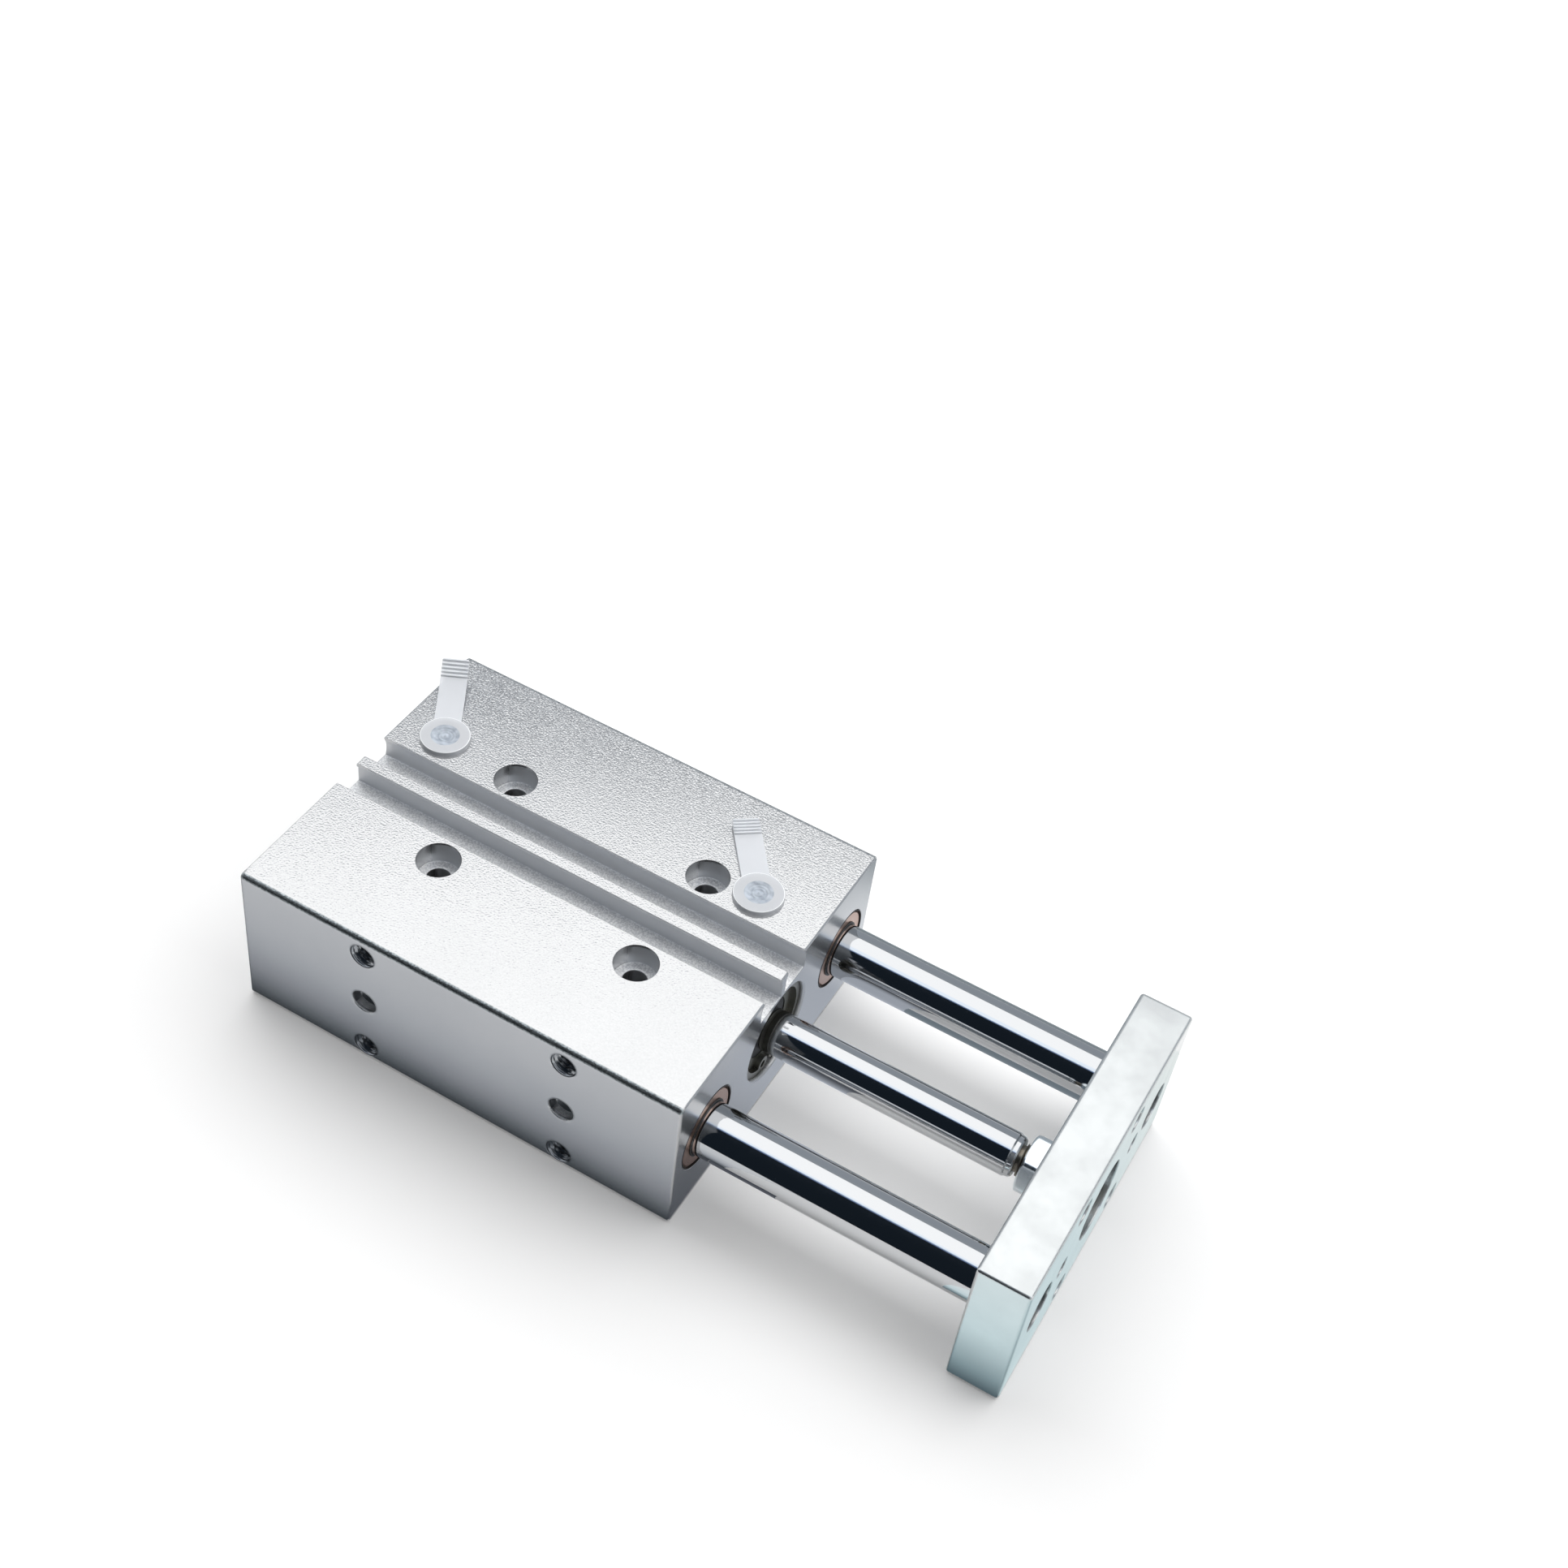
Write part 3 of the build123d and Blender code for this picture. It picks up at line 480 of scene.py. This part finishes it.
mirror_share = anodised.math("SUBTRACT", anodised.remap(level, 0, 1, 0.92, 0.78),
                             anodised.math("MULTIPLY", floors, 0.2))
anodised.set({"Base Color": shade, "Metallic": mirror_share, "Roughness": roughness,
              "Normal": anodised.bump(pits, PIT_DEPTH, pitted, under)})
print("housing finish:", len(anodised.tree.nodes), "nodes, for a top at", round(float(TOP), 2), "mm")

# %% [markdown]
# ## Chromed and ground rods
# The three rods are the brightest pieces: hard chrome, ground round and polished. A perfect mirror
# looks like glass, so the roughness carries faint rings left by the grinding wheel. The rings are
# noise that is short along the rod and long across it. The stud of the piston rod is cut after the
# plating, so it is bare and brownish.

# %% Rod finish
CHROME, BARE_STEEL = (0.52, 0.53, 0.542), (0.20, 0.18, 0.15)
chrome = Finish("ground_chrome", {"Metallic": 1.0})
wheel_marks = chrome.noise(0.12, detail=2.0, stretch=(1, 30, 30))
wipe = chrome.noise(9.0, detail=2.0, stretch=(3, 1, 1))
rod_x, rod_y, _ = chrome.parts_of(chrome.place)
bare = chrome.math("MULTIPLY", chrome.fade(rod_x, 89.6, 89.9),
                   chrome.fade(chrome.math("ABSOLUTE", rod_y), 6.0, 5.5))
polish = chrome.remap(chrome.math("MULTIPLY", wheel_marks, wipe), 0.15, 0.40, 0.03, 0.075)
chrome.set({"Base Color": chrome.mix(bare, CHROME, BARE_STEEL),
            "Roughness": chrome.math("ADD", polish, chrome.math("MULTIPLY", bare, 0.28)),
            "Normal": chrome.bump(wheel_marks, 0.0006)})

# %% [markdown]
# ## Zinc on steel
# The end plate and the nuts are milled steel with a thin zinc coat, passivated to a cold bluish
# white. Zinc grows in soft clouds, so both its tint and its gloss wander over a few millimetres. The
# plate's top is partly dull, like the housing's, so that it isn't black when seen from behind.

# %% Plate and nut finishes
CLOUD_TINT, LEVEL_GAIN, EDGE_R = 0.955, 0.38, 0.40 * MM


def zinc_coat(name, colour, cloud_mm, roughness, marks_depth, level_mirror=1.0):
    """A zinc plated steel: clouded colour and gloss over fine cutter marks, duller on level faces."""
    finish = Finish(name, {})
    clouds = finish.noise(cloud_mm, detail=4.0)
    specks = finish.noise(0.30, detail=2.0)
    marks = finish.noise(0.22, detail=1.0, stretch=(1, 25, 1))
    level = finish.facing_along("Z")
    darker = tuple(c * CLOUD_TINT for c in colour)
    lighter = tuple(c * (1 + LEVEL_GAIN * (1 - level_mirror)) for c in colour)
    coat = finish.mix(finish.remap(clouds, 0.35, 0.65), darker, finish.mix(level, colour, lighter))
    soft = finish.bump(specks, 0.006, 0.6, finish.broken_edges(EDGE_R))
    finish.set({"Base Color": coat,
                "Metallic": finish.remap(level, 0, 1, 1.0, level_mirror),
                "Roughness": finish.remap(clouds, 0.3, 0.7, roughness + 0.03, roughness),
                "Normal": finish.bump(marks, marks_depth, 0.5, soft)})
    return finish.material


plate_zinc = zinc_coat("zinc_plated_plate", (0.555, 0.575, 0.580), 6.0, 0.17, 0.006, level_mirror=0.78)
nut_zinc = zinc_coat("zinc_plated_nut", (0.74, 0.79, 0.82), 2.5, 0.20, 0.004)

# %% [markdown]
# ## Bronze, black parts, rubber and plastic
# The rest shows only at the mouths of the bores and when the cylinder is taken apart. Each still
# gets its own colour, gloss and grain: sintered bronze is pinkish and porous, oiled black steel has
# a soft sheen, and rubber is dull with a fine moulded grain.

# %% A finish with grain
GRAINS_TO_PATCH = 12


def grained(name, colour, metallic, roughness, grain_mm, depth_mm, stretch=(1, 1, 1), spread=0.15,
            extra=None):
    """A plain material whose colour, gloss and bump follow one grain."""
    finish = Finish(name, {"Metallic": metallic, **(extra or {})})
    grain = finish.noise(grain_mm, detail=3.0, stretch=stretch)
    patches = finish.noise(grain_mm * GRAINS_TO_PATCH, detail=2.0)
    dark = tuple(c * (1 - spread) for c in colour)
    light = tuple(min(c * (1 + spread), 1.0) for c in colour)
    mottle = finish.math("MULTIPLY", finish.math("ADD", grain, patches), 0.5)
    finish.set({"Base Color": finish.mix(mottle, dark, light),
                "Roughness": finish.remap(patches, 0.3, 0.7, roughness - 0.04, roughness + 0.05),
                "Normal": finish.bump(grain, depth_mm)})
    return finish.material


finishes = {
    "body_aluminium": anodised.material,
    "chrome_rod": chrome.material,
    "plate_steel": plate_zinc,
    "zinc_steel": nut_zinc,
    "bronze": grained("sintered_bronze", (0.46, 0.295, 0.225), 1.0, 0.30, 0.18, 0.010, spread=0.22),
    "black_steel": grained("phosphated_ring_steel", (0.20, 0.195, 0.17), 0.9, 0.33, 0.25, 0.006, spread=0.3),
    "screw_steel": grained("blackened_screw_steel", (0.06, 0.06, 0.062), 1.0, 0.30, 0.2, 0.004, spread=0.3),
    "black_aluminium": grained("olive_anodised_aluminium", (0.15, 0.148, 0.125), 0.85, 0.36, 0.15, 0.006,
                               stretch=(1, 12, 12), spread=0.25),
    "piston_aluminium": grained("turned_aluminium", (0.62, 0.63, 0.64), 1.0, 0.24, 0.14, 0.005,
                                stretch=(1, 20, 20)),
    "black_rubber": grained("black_seal_rubber", (0.022, 0.022, 0.023), 0.0, 0.55, 0.12, 0.006, spread=0.3),
    "bumper_rubber": grained("amber_bumper_rubber", (0.52, 0.33, 0.12), 0.0, 0.42, 0.3, 0.006),
    "wear_plastic": grained("brown_bearing_plastic", (0.20, 0.11, 0.07), 0.0, 0.45, 0.2, 0.005),
    "magnet": grained("pressed_ferrite", (0.055, 0.052, 0.052), 0.1, 0.62, 0.1, 0.010, spread=0.25),
    "cap_plastic": grained("milky_cap_plastic", (0.80, 0.825, 0.865), 0.0, 0.22, 0.5, 0.006, spread=0.02,
                           extra={"Alpha": 0.66, "IOR": 1.45}),
}
for part in frame["record"]["subparts"]:
    node = frame["nodes"][part["node"]]
    node.data.materials.clear()
    node.data.materials.append(finishes[part["material_slot"]])

# %% [markdown]
# ## Surfaces from numbers
# A thread, a drill point or a nut is a shape with a plain rule, so it is worked out and not modelled
# by hand. Each one here is rings of points around an axis: a table of radii gives one row to a ring
# and one column to a turn of the ring. Rings join up with four-sided faces and the ends close on one
# centre point. Blender's Screw modifier makes threads too, but a rule also fades them in at the mouth.

# %% Helpers for surfaces
def grid_faces(rows, columns, wrap_rows=False):
    """Faces between the neighbouring points of a grid whose columns close on themselves."""
    i, j = np.meshgrid(np.arange(rows if wrap_rows else rows - 1), np.arange(columns), indexing="ij")
    i, j = i.ravel() * columns, j.ravel()
    below, beside = (i + columns) % (rows * columns), (j + 1) % columns
    return np.column_stack([i + j, i + beside, below + beside, below + j])


def outward(points, faces):
    """A closed shell with its faces turned outwards: its volume, a sum of triple products, is positive."""
    corners = np.vstack([kind[:, [0, k, k + 1]] for kind in faces for k in range(1, kind.shape[1] - 1)])
    a, b, c = (points[corners[:, k]] for k in range(3))
    inside_out = (np.cross(a, b) * c).sum() < 0
    return points, [kind[:, ::-1] if inside_out else kind for kind in faces]


def around(columns):
    """The angles of the columns of a ring."""
    return 2 * np.pi * np.arange(columns) / columns


def rings(along, radius):
    """Points at (radius cos angle, radius sin angle, along) for every row and column."""
    angle = around(radius.shape[1])
    along = np.broadcast_to(along if np.ndim(along) == 2 else np.asarray(along)[:, None], radius.shape)
    return np.stack([radius * np.cos(angle), radius * np.sin(angle), along], axis=-1).reshape(-1, 3)


def turned(along, radius, ends):
    """A solid of rings, closed by one centre point at each of the two ends."""
    rows, columns = radius.shape
    points = np.vstack([rings(along, radius), [[0, 0, ends[0]], [0, 0, ends[1]]]])
    here = np.arange(columns)
    beside, last, centre = (here + 1) % columns, (rows - 1) * columns, rows * columns
    fans = np.vstack([np.column_stack([here * 0 + centre, beside, here]),
                      np.column_stack([here * 0 + centre + 1, last + here, last + beside])])
    return outward(points, [grid_faces(rows, columns), fans])


def sleeve_of(along, radius):
    """A sleeve of rings whose last ring joins the first, so that it is closed without a centre."""
    return outward(rings(along, radius), [grid_faces(*radius.shape, wrap_rows=True)])


def set_down(shell, centres, into):
    """Copies of a shell, one at each centre, with its own z axis turned to point along into."""
    points, faces = shell
    centres, into = np.atleast_2d(np.asarray(centres, float)), np.asarray(into, float)
    into = into / np.linalg.norm(into)
    sideways = np.roll(np.abs(into), 1)
    sideways -= into * (sideways @ into)
    sideways /= np.linalg.norm(sideways)
    turn = np.stack([sideways, np.cross(into, sideways), into])
    placed = (points @ turn)[None] + centres[:, None]
    steps = np.arange(len(centres))[:, None, None] * len(points)
    return placed.reshape(-1, 3), [(kind[None] + steps).reshape(-1, kind.shape[1]) for kind in faces]


def dressed(name, shells, body, slot, sharp=40.0, finish=None):
    """One smooth-shaded piece from shells in millimetres, on a body, in the slot's finish or its own."""
    points = np.vstack([shell[0] for shell in shells]) * MM
    starts = np.cumsum([0] + [len(shell[0]) for shell in shells])
    faces = [face for start, (_, kinds) in zip(starts, shells)
             for kind in kinds for face in (kind + start).tolist()]
    mesh = bpy.data.meshes.new(name)
    mesh.from_pydata(points.tolist(), [], faces)
    mesh.shade_smooth()
    mesh.set_sharp_from_angle(angle=math.radians(sharp))
    mesh.materials.append(finish or finishes[slot])
    piece = bpy.data.objects.new(name, mesh)
    bpy.context.scene.collection.objects.link(piece)
    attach(piece, body)
    print(name + ":", len(faces), "faces")
    return piece


# %% [markdown]
# ## Tapped holes
# The side, bottom and plate holes are tapped M5 x 0.8. A tap leaves a ridge that climbs one pitch
# per turn, and the ridge starts gently because the mouth is opened first. A drawn stripe would show
# from one side only, so the ridge is real: it is a sleeve just inside the plain bore of the CAD.

# %% The thread rule and the tapped sleeves
THREAD_PITCH, HOLE_R, CREST_R, COVERED_R = 0.8, 2.495, 2.07, 2.62
TURN_POINTS, PITCH_POINTS = 56, 9
RIDGE_SLOPE, RIDGE_SUNK = 1.3, 0.15
MOUTH, RIDGE_STARTS, SKIN, BEHIND = 0.02, 0.1, 0.01, 0.1
CONE_DEPTH = HOLE_R / math.tan(math.radians(118 / 2))


def ridge(along, pitch, columns):
    """How far the ridge stands out, 0 to 1: a tent with a flat top over the part turn along/pitch - angle."""
    part = np.mod(np.asarray(along)[:, None] / pitch - around(columns) / (2 * np.pi), 1.0)
    return np.clip(RIDGE_SLOPE * np.abs(2 * part - 1) - RIDGE_SUNK, 0, 1)


def tapped_wall(start, end):
    """Rows of a tapped bore: radius = bore - height * ridge, and the height fades in over one pitch."""
    along = np.linspace(start, end, int(abs(end - start) / THREAD_PITCH * PITCH_POINTS))
    height = (HOLE_R - CREST_R) * np.clip((along - RIDGE_STARTS) / THREAD_PITCH, 0, 1)
    return along, HOLE_R - height[:, None] * ridge(along, THREAD_PITCH, TURN_POINTS)


def tapped_through(depth):
    """A tapped sleeve: the thread inside, and a plain wall outside that the metal hides."""
    along, radius = tapped_wall(MOUTH, depth - MOUTH)
    outside = np.full((2, TURN_POINTS), COVERED_R)
    return sleeve_of(np.append(along, [depth - MOUTH, MOUTH]), np.vstack([radius, outside]))


def tapped_blind(depth):
    """The same with a drill point: the bore ends in the cone of a 118 degree drill."""
    along, radius = tapped_wall(depth - CONE_DEPTH, MOUTH)
    outside = np.full((2, TURN_POINTS), COVERED_R)
    along = np.append(along, [MOUTH, depth + BEHIND])
    return turned(along, np.vstack([radius, outside]), (depth - SKIN, depth + BEHIND))


# %% Tap the holes
SCREW_X, SCREW_DEPTH, SIDE_Z, MOUNT_Y = 20.25, 10.0, (3.15, 27.65), 11.8
PLATE_MIDDLE_Z, PLATE_SCREW_Y, PLATE_SCREW_Z = 15.7, 10.8, 11.2
stations = (-SCREW_X, SCREW_X)
near_holes = [(x, body_low[1], z) for x in stations for z in SIDE_Z]
far_holes = [(x, body_high[1], z) for x in stations for z in SIDE_Z]
under_holes = [(x, y, body_low[2]) for x in stations for y in (-MOUNT_Y, MOUNT_Y)]
plate_holes = [(plate_high[0], y, PLATE_MIDDLE_Z + z)
               for y in (-PLATE_SCREW_Y, PLATE_SCREW_Y) for z in (-PLATE_SCREW_Z, PLATE_SCREW_Z)]
blind, through = tapped_blind(SCREW_DEPTH), tapped_through(SCREW_DEPTH)
through_plate = tapped_through(plate_high[0] - plate_low[0])
# The threads and drill points take a darker aluminium than the housing: painted shade for the inside of the
# holes.
hole_shade_aluminium = grained("hole_aluminium_painted_dark", (0.36, 0.37, 0.385), 1.0, 0.20, 0.12, 0.004, spread=0.12)
dressed("side_screw_threads",
        [set_down(blind, near_holes, (0, 1, 0)), set_down(blind, far_holes, (0, -1, 0))],
        "housing", "body_aluminium", finish=hole_shade_aluminium)
dressed("bottom_screw_threads", [set_down(through, under_holes, (0, 0, 1))], "housing", "body_aluminium",
        finish=hole_shade_aluminium)
dressed("plate_screw_threads", [set_down(through_plate, plate_holes, (-1, 0, 0))], "carriage", "plate_steel")

# %% [markdown]
# ## Drill points in the dowel holes
# The dowel holes are short and blind, and light falls to their bottom, where the drill left its
# cone. The CAD keeps a flat bottom, which is easy to measure. A cone set in it shows the bright spot.

# %% Drill points
DOWEL_DEPTH, DOWEL_Z = 3.5, 15.4
cone_start = DOWEL_DEPTH - CONE_DEPTH
cone_rows = [cone_start, cone_start, DOWEL_DEPTH + BEHIND]
cone_radii = np.repeat([[HOLE_R], [COVERED_R], [COVERED_R]], TURN_POINTS, axis=1)
point = turned(cone_rows, cone_radii, (DOWEL_DEPTH - SKIN, DOWEL_DEPTH + BEHIND))
# The cone takes the same darker aluminium, painted shade for the hole.
dressed("dowel_drill_points",
        [set_down(point, [(x, body_low[1], DOWEL_Z) for x in stations], (0, 1, 0)),
         set_down(point, [(x, body_high[1], DOWEL_Z) for x in stations], (0, -1, 0))],
        "housing", "body_aluminium", finish=hole_shade_aluminium)

# %% [markdown]
# ## Dark rims at the guide bushes
# A bush is pressed in, and the gap round it lies in shade; beside the rod is the oily lip that wipes it.
# Both are black rings a few hundredths of a millimetre high, and they clear the rod. The outer ring is
# painted shade for the gap; the inner ring is partly the lip and partly painted shade for the clearance.

# %% Bush rims
GUIDE_Y, GUIDE_Z, GUIDE_R, BUSH_R = 23.5, 16.0, 5.0, 7.75
LIP_GAP, LIP_WIDTH, LIP_HEIGHT = 0.06, 0.36, 0.05
SEAM_HALF, SEAM_HEIGHT = 0.07, 0.03


def flat_ring(inner, outer, height, buried=0.4, columns=96):
    """A ring from its inner to its outer radius, standing height out of the face and buried under it."""
    along = np.array([buried, -height, -height, buried])
    radius = np.repeat([[inner], [inner], [outer], [outer]], columns, axis=1)
    return sleeve_of(along, radius)


# Painted shade: the seam ring darkens the gap round the bush, the lip ring partly the clearance at the rod.
lip_and_shade = flat_ring(GUIDE_R + LIP_GAP, GUIDE_R + LIP_GAP + LIP_WIDTH, LIP_HEIGHT)
seam_shade = flat_ring(BUSH_R - SEAM_HALF, BUSH_R + SEAM_HALF, SEAM_HEIGHT)
guides = [(body_high[0], y, GUIDE_Z) for y in (-GUIDE_Y, GUIDE_Y)]
dressed("guide_bush_shade_rims", [set_down(ring, guides, (-1, 0, 0)) for ring in (lip_and_shade, seam_shade)],
        "housing", "black_rubber")

# %% [markdown]
# ## The piston rod and its nuts
# The rod ends in two narrow bevels, a dark relief and an M6 stud, and two nuts clamp the plate. The
# rod is one long turned surface: its radius depends on where along the rod a ring is and, over the
# stud, on the angle too. A nut is a ring whose radius is the flat's distance divided by the cosine
# of the angle from the flat's middle, cut down by the circle that rounds its corners.

# %% Piston rod
ROD_Z, ROD_COLUMNS, TURN_ROWS = 16.75, 72, 14
ROD_BACK, SHAFT_BACK, SHOULDER, STUD_START, STUD_END = 13.75, 28.85, 89.85, 90.45, 104.15
SPIGOT_R, SHAFT_R, RELIEF_R, STUD_R = 2.5, 4.0, 2.45, 3.0
STUD_PITCH, STUD_DEPTH, STUD_CHAMFER = 1.0, 0.45, 0.5
BEVELS = ((1.35, SHAFT_R), (1.05, 3.80), (0.35, 3.70), (0.0, 3.40))    # way behind the shoulder, radius
plain = np.array([
    (ROD_BACK, SPIGOT_R - STUD_CHAMFER), (ROD_BACK + STUD_CHAMFER, SPIGOT_R), (SHAFT_BACK, SPIGOT_R),
    (SHAFT_BACK, SHAFT_R), *[(SHOULDER - behind, radius) for behind, radius in BEVELS],
    (SHOULDER, RELIEF_R), (STUD_START, RELIEF_R)])
stud_along = np.linspace(STUD_START, STUD_END, int((STUD_END - STUD_START) / STUD_PITCH * TURN_ROWS))
stud_r = np.minimum(STUD_R, STUD_R + (STUD_END - STUD_CHAMFER - stud_along))
thread_share = np.clip((stud_along - STUD_START) / STUD_CHAMFER, 0, 1)[:, None]
cut = STUD_DEPTH * (1 - ridge(stud_along, STUD_PITCH, ROD_COLUMNS)) * thread_share
rod_radius = np.vstack([np.repeat(plain[:, 1:], ROD_COLUMNS, axis=1), stud_r[:, None] - cut])
rod_along = np.concatenate([plain[:, 0], stud_along])
rod_shell = set_down(turned(rod_along, rod_radius, (ROD_BACK, STUD_END)), (0, 0, ROD_Z), (1, 0, 0))
rod = dressed("threaded_piston_rod", [rod_shell], "carriage", "chrome_rod", sharp=20.0)
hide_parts("piston_rod")

# %% Hexagon nuts
NUT_FLATS, NUT_THICKNESS, NUT_HOLE_R, NUT_TURN = 10.0, 4.0, 3.02, 40.0
NUT_BEVEL, NUT_FACE, NUT_CORNER = 0.5, 0.95, 0.562


def hexagon_nut(flats, thickness, hole_r, turn_degrees, columns=144, bevel_rows=7):
    """Rings with radius flat / cos(angle from the flat's middle), inside a circle and two end cones."""
    from_flat = np.mod(around(columns) - math.radians(turn_degrees) + np.pi / 6, np.pi / 3) - np.pi / 6
    hexagon = flats / 2 / np.cos(from_flat)
    along = np.concatenate([np.linspace(0, NUT_BEVEL, bevel_rows),
                            np.linspace(thickness - NUT_BEVEL, thickness, bevel_rows)])
    cone = NUT_FACE * flats / 2 + math.sqrt(3) * np.minimum(along, thickness - along)
    outside = np.minimum(np.minimum(hexagon, NUT_CORNER * flats)[None], cone[:, None])
    hole = np.full((2, columns), hole_r)
    return sleeve_of(np.append(along, [thickness, 0.0]), np.vstack([outside, hole]))


nut = hexagon_nut(NUT_FLATS, NUT_THICKNESS, NUT_HOLE_R, NUT_TURN)
for which in ("rear", "front"):
    low, high = (np.array(corner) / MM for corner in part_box(which + "_rod_nut"))
    print(which, "nut spans", round(low[0], 2), "to", round(high[0], 2), "mm along the rod")
    piece = dressed(which + "_hexagon_nut", [set_down(nut, (low[0], 0, ROD_Z), (1, 0, 0))],
                    "carriage", "zinc_steel", sharp=25.0)
    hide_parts(which + "_rod_nut")

# %% [markdown]
# ## Dust caps
# The air ports are shut with soft milky caps. Their tops are dished, and the dish keeps the marks of
# the moulding tool: fine rings around the small stub where the plastic came in. The CAD has the
# flange, the strap and its ribs, and this adds the marked dish that sits in the top. Its plastic is
# polished by the tool and flowed in a swirl, so it is clearer and darker in places.

# %% Marked dishes
PORT_Y, PORTS_X = 13.1, {"rear_cap": -36.65, "front_cap": 29.75}
DISH_R, TIP_R, FLAT_R, SLOPE_RUN, FLOOR_Z, BRIM_Z = 2.64, 0.03, 1.5, 1.2, 0.45, 0.885
RING_PITCH, RING_HEIGHT, SWIRL_PITCH, SWIRL_HEIGHT = 0.55, 0.045, 1.4, 0.035
STUB_R, STUB_HEIGHT, LIFT, MARKS_FADE = 0.42, 0.22, 0.05, 1.3
UNDER_R, UNDER_EDGE_Z, UNDER_Z, CENTRE_Z = 2.2, 0.30, 0.20, 0.72
SWIRL_DARK, SWIRL_LIGHT = (0.40, 0.45, 0.52), (0.64, 0.70, 0.78)


def marked_dish(columns=96, rows=48):
    """Height over the radius: a shallow dish, plus rings, a slow swirl and a round stub in the middle."""
    radius = np.linspace(TIP_R, DISH_R, rows)[:, None] * np.ones(columns)
    funnel = FLOOR_Z + np.clip(radius - FLAT_R, 0, None) / SLOPE_RUN * FLOOR_Z
    swirl = SWIRL_HEIGHT * np.sin(around(columns) + 2 * np.pi * radius / SWIRL_PITCH)
    marks = RING_HEIGHT * np.cos(2 * np.pi * radius / RING_PITCH) + swirl
    marks = marks * np.clip(2.0 - radius / MARKS_FADE, 0, 1)
    stub = STUB_HEIGHT * np.exp(-(radius / STUB_R) ** 4)
    top = np.minimum(funnel + LIFT + marks, BRIM_Z) + stub
    bottom = np.array([[UNDER_EDGE_Z], [UNDER_Z]]) * np.ones(columns)
    bottom_radius = np.array([[UNDER_R], [TIP_R]]) * np.ones(columns)
    return turned(np.vstack([top, bottom]), np.vstack([radius, bottom_radius]), (CENTRE_Z, UNDER_Z))


dish_plastic = Finish("polished_dish_plastic", {"Alpha": 0.75, "IOR": 1.45})
flow = dish_plastic.noise(1.3, detail=1.5)
dish_share = dish_plastic.remap(flow, 0.35, 0.65)
dish_plastic.set({"Base Color": dish_plastic.mix(dish_share, SWIRL_DARK, SWIRL_LIGHT),
                  "Roughness": dish_plastic.remap(flow, 0.4, 0.6, 0.08, 0.20),
                  "Normal": dish_plastic.bump(flow, 0.05)})
for body, port_x in PORTS_X.items():
    dressed(body + "_dish", [set_down(marked_dish(), (port_x, PORT_Y, TOP), (0, 0, 1))],
            body, "cap_plastic", sharp=60.0, finish=dish_plastic.material)

# %% [markdown]
# ## Whiter edges on the caps
# Milky plastic looks whiter where it is thick or rounded: along the rim of the flange and on the five
# grip ribs of the strap. A rim is a ring with a round section, and a rib is a bar with rounded ends
# whose height follows the strap: it rises to the tip with the square of the way along it.

# %% Rims and ribs
CAP_R, FLANGE_TOP, STRAP_ROOT, STRAP_REACH, STRAP_TOP = 4.65, 0.9, 3.75, 17.3, 0.75
RIB_R, RIB_PITCH, RIB_COUNT, RIB_LENGTH, RIB_CLEAR = 0.28, 0.75, 5, 4.5, 0.01
RIM_R, RIM_INSET, RIM_SUNK = 0.10, 0.17, 0.005
STRAPS = {"rear_cap": (118.7, 3.0), "front_cap": (128.0, 0.3)}    # angle in plan, rise of the tip


def bar(length, radius, columns=16, rows=7, last_latitude=0.45 * np.pi):
    """A bar with round ends: radius * cos(latitude) at length / 2 - radius + radius * sin(latitude)."""
    latitude = np.linspace(0, last_latitude, rows)
    end = length / 2 - radius + radius * np.sin(latitude)
    along = np.concatenate([-end[::-1], end])
    size = radius * np.cos(latitude)
    size = np.concatenate([size[::-1], size])[:, None] * np.ones(columns)
    return turned(along, size, (-length / 2, length / 2))


def round_rim(ring_r, tube_r, columns=96, rows=12):
    """A ring of round section: the radius is ring + tube * cos(angle), the height tube * sin(angle)."""
    section = around(rows)
    radius = (ring_r + tube_r * np.cos(section))[:, None] * np.ones(columns)
    return sleeve_of(tube_r * np.sin(section), radius)


thick_plastic = grained("thick_cap_plastic", (0.93, 0.945, 0.965), 0.0, 0.20, 0.5, 0.003, spread=0.02,
                        extra={"IOR": 1.45})
rib, rim = bar(RIB_LENGTH, RIB_R - RIB_CLEAR), round_rim(CAP_R - RIM_INSET, RIM_R)
for body, (angle, rise) in STRAPS.items():
    strap_way = np.array([math.cos(math.radians(angle)), math.sin(math.radians(angle)), 0.0])
    across_strap = np.array([-strap_way[1], strap_way[0], 0.0])
    share = 1 - (RIB_R + RIB_PITCH * np.arange(RIB_COUNT)) / (STRAP_REACH - STRAP_ROOT)
    seat = np.array([PORTS_X[body], PORT_Y, TOP])
    out_by = STRAP_ROOT + share * (STRAP_REACH - STRAP_ROOT)
    height = STRAP_TOP + rise * share ** 2
    rib_centres = seat + out_by[:, None] * strap_way + height[:, None] * [0, 0, 1]
    rim_centre = seat + [0, 0, FLANGE_TOP - RIM_R - RIM_SUNK]
    dressed(body + "_rim_and_ribs",
            [set_down(rib, rib_centres, across_strap), set_down(rim, rim_centre, (0, 0, 1))],
            body, "cap_plastic", finish=thick_plastic)
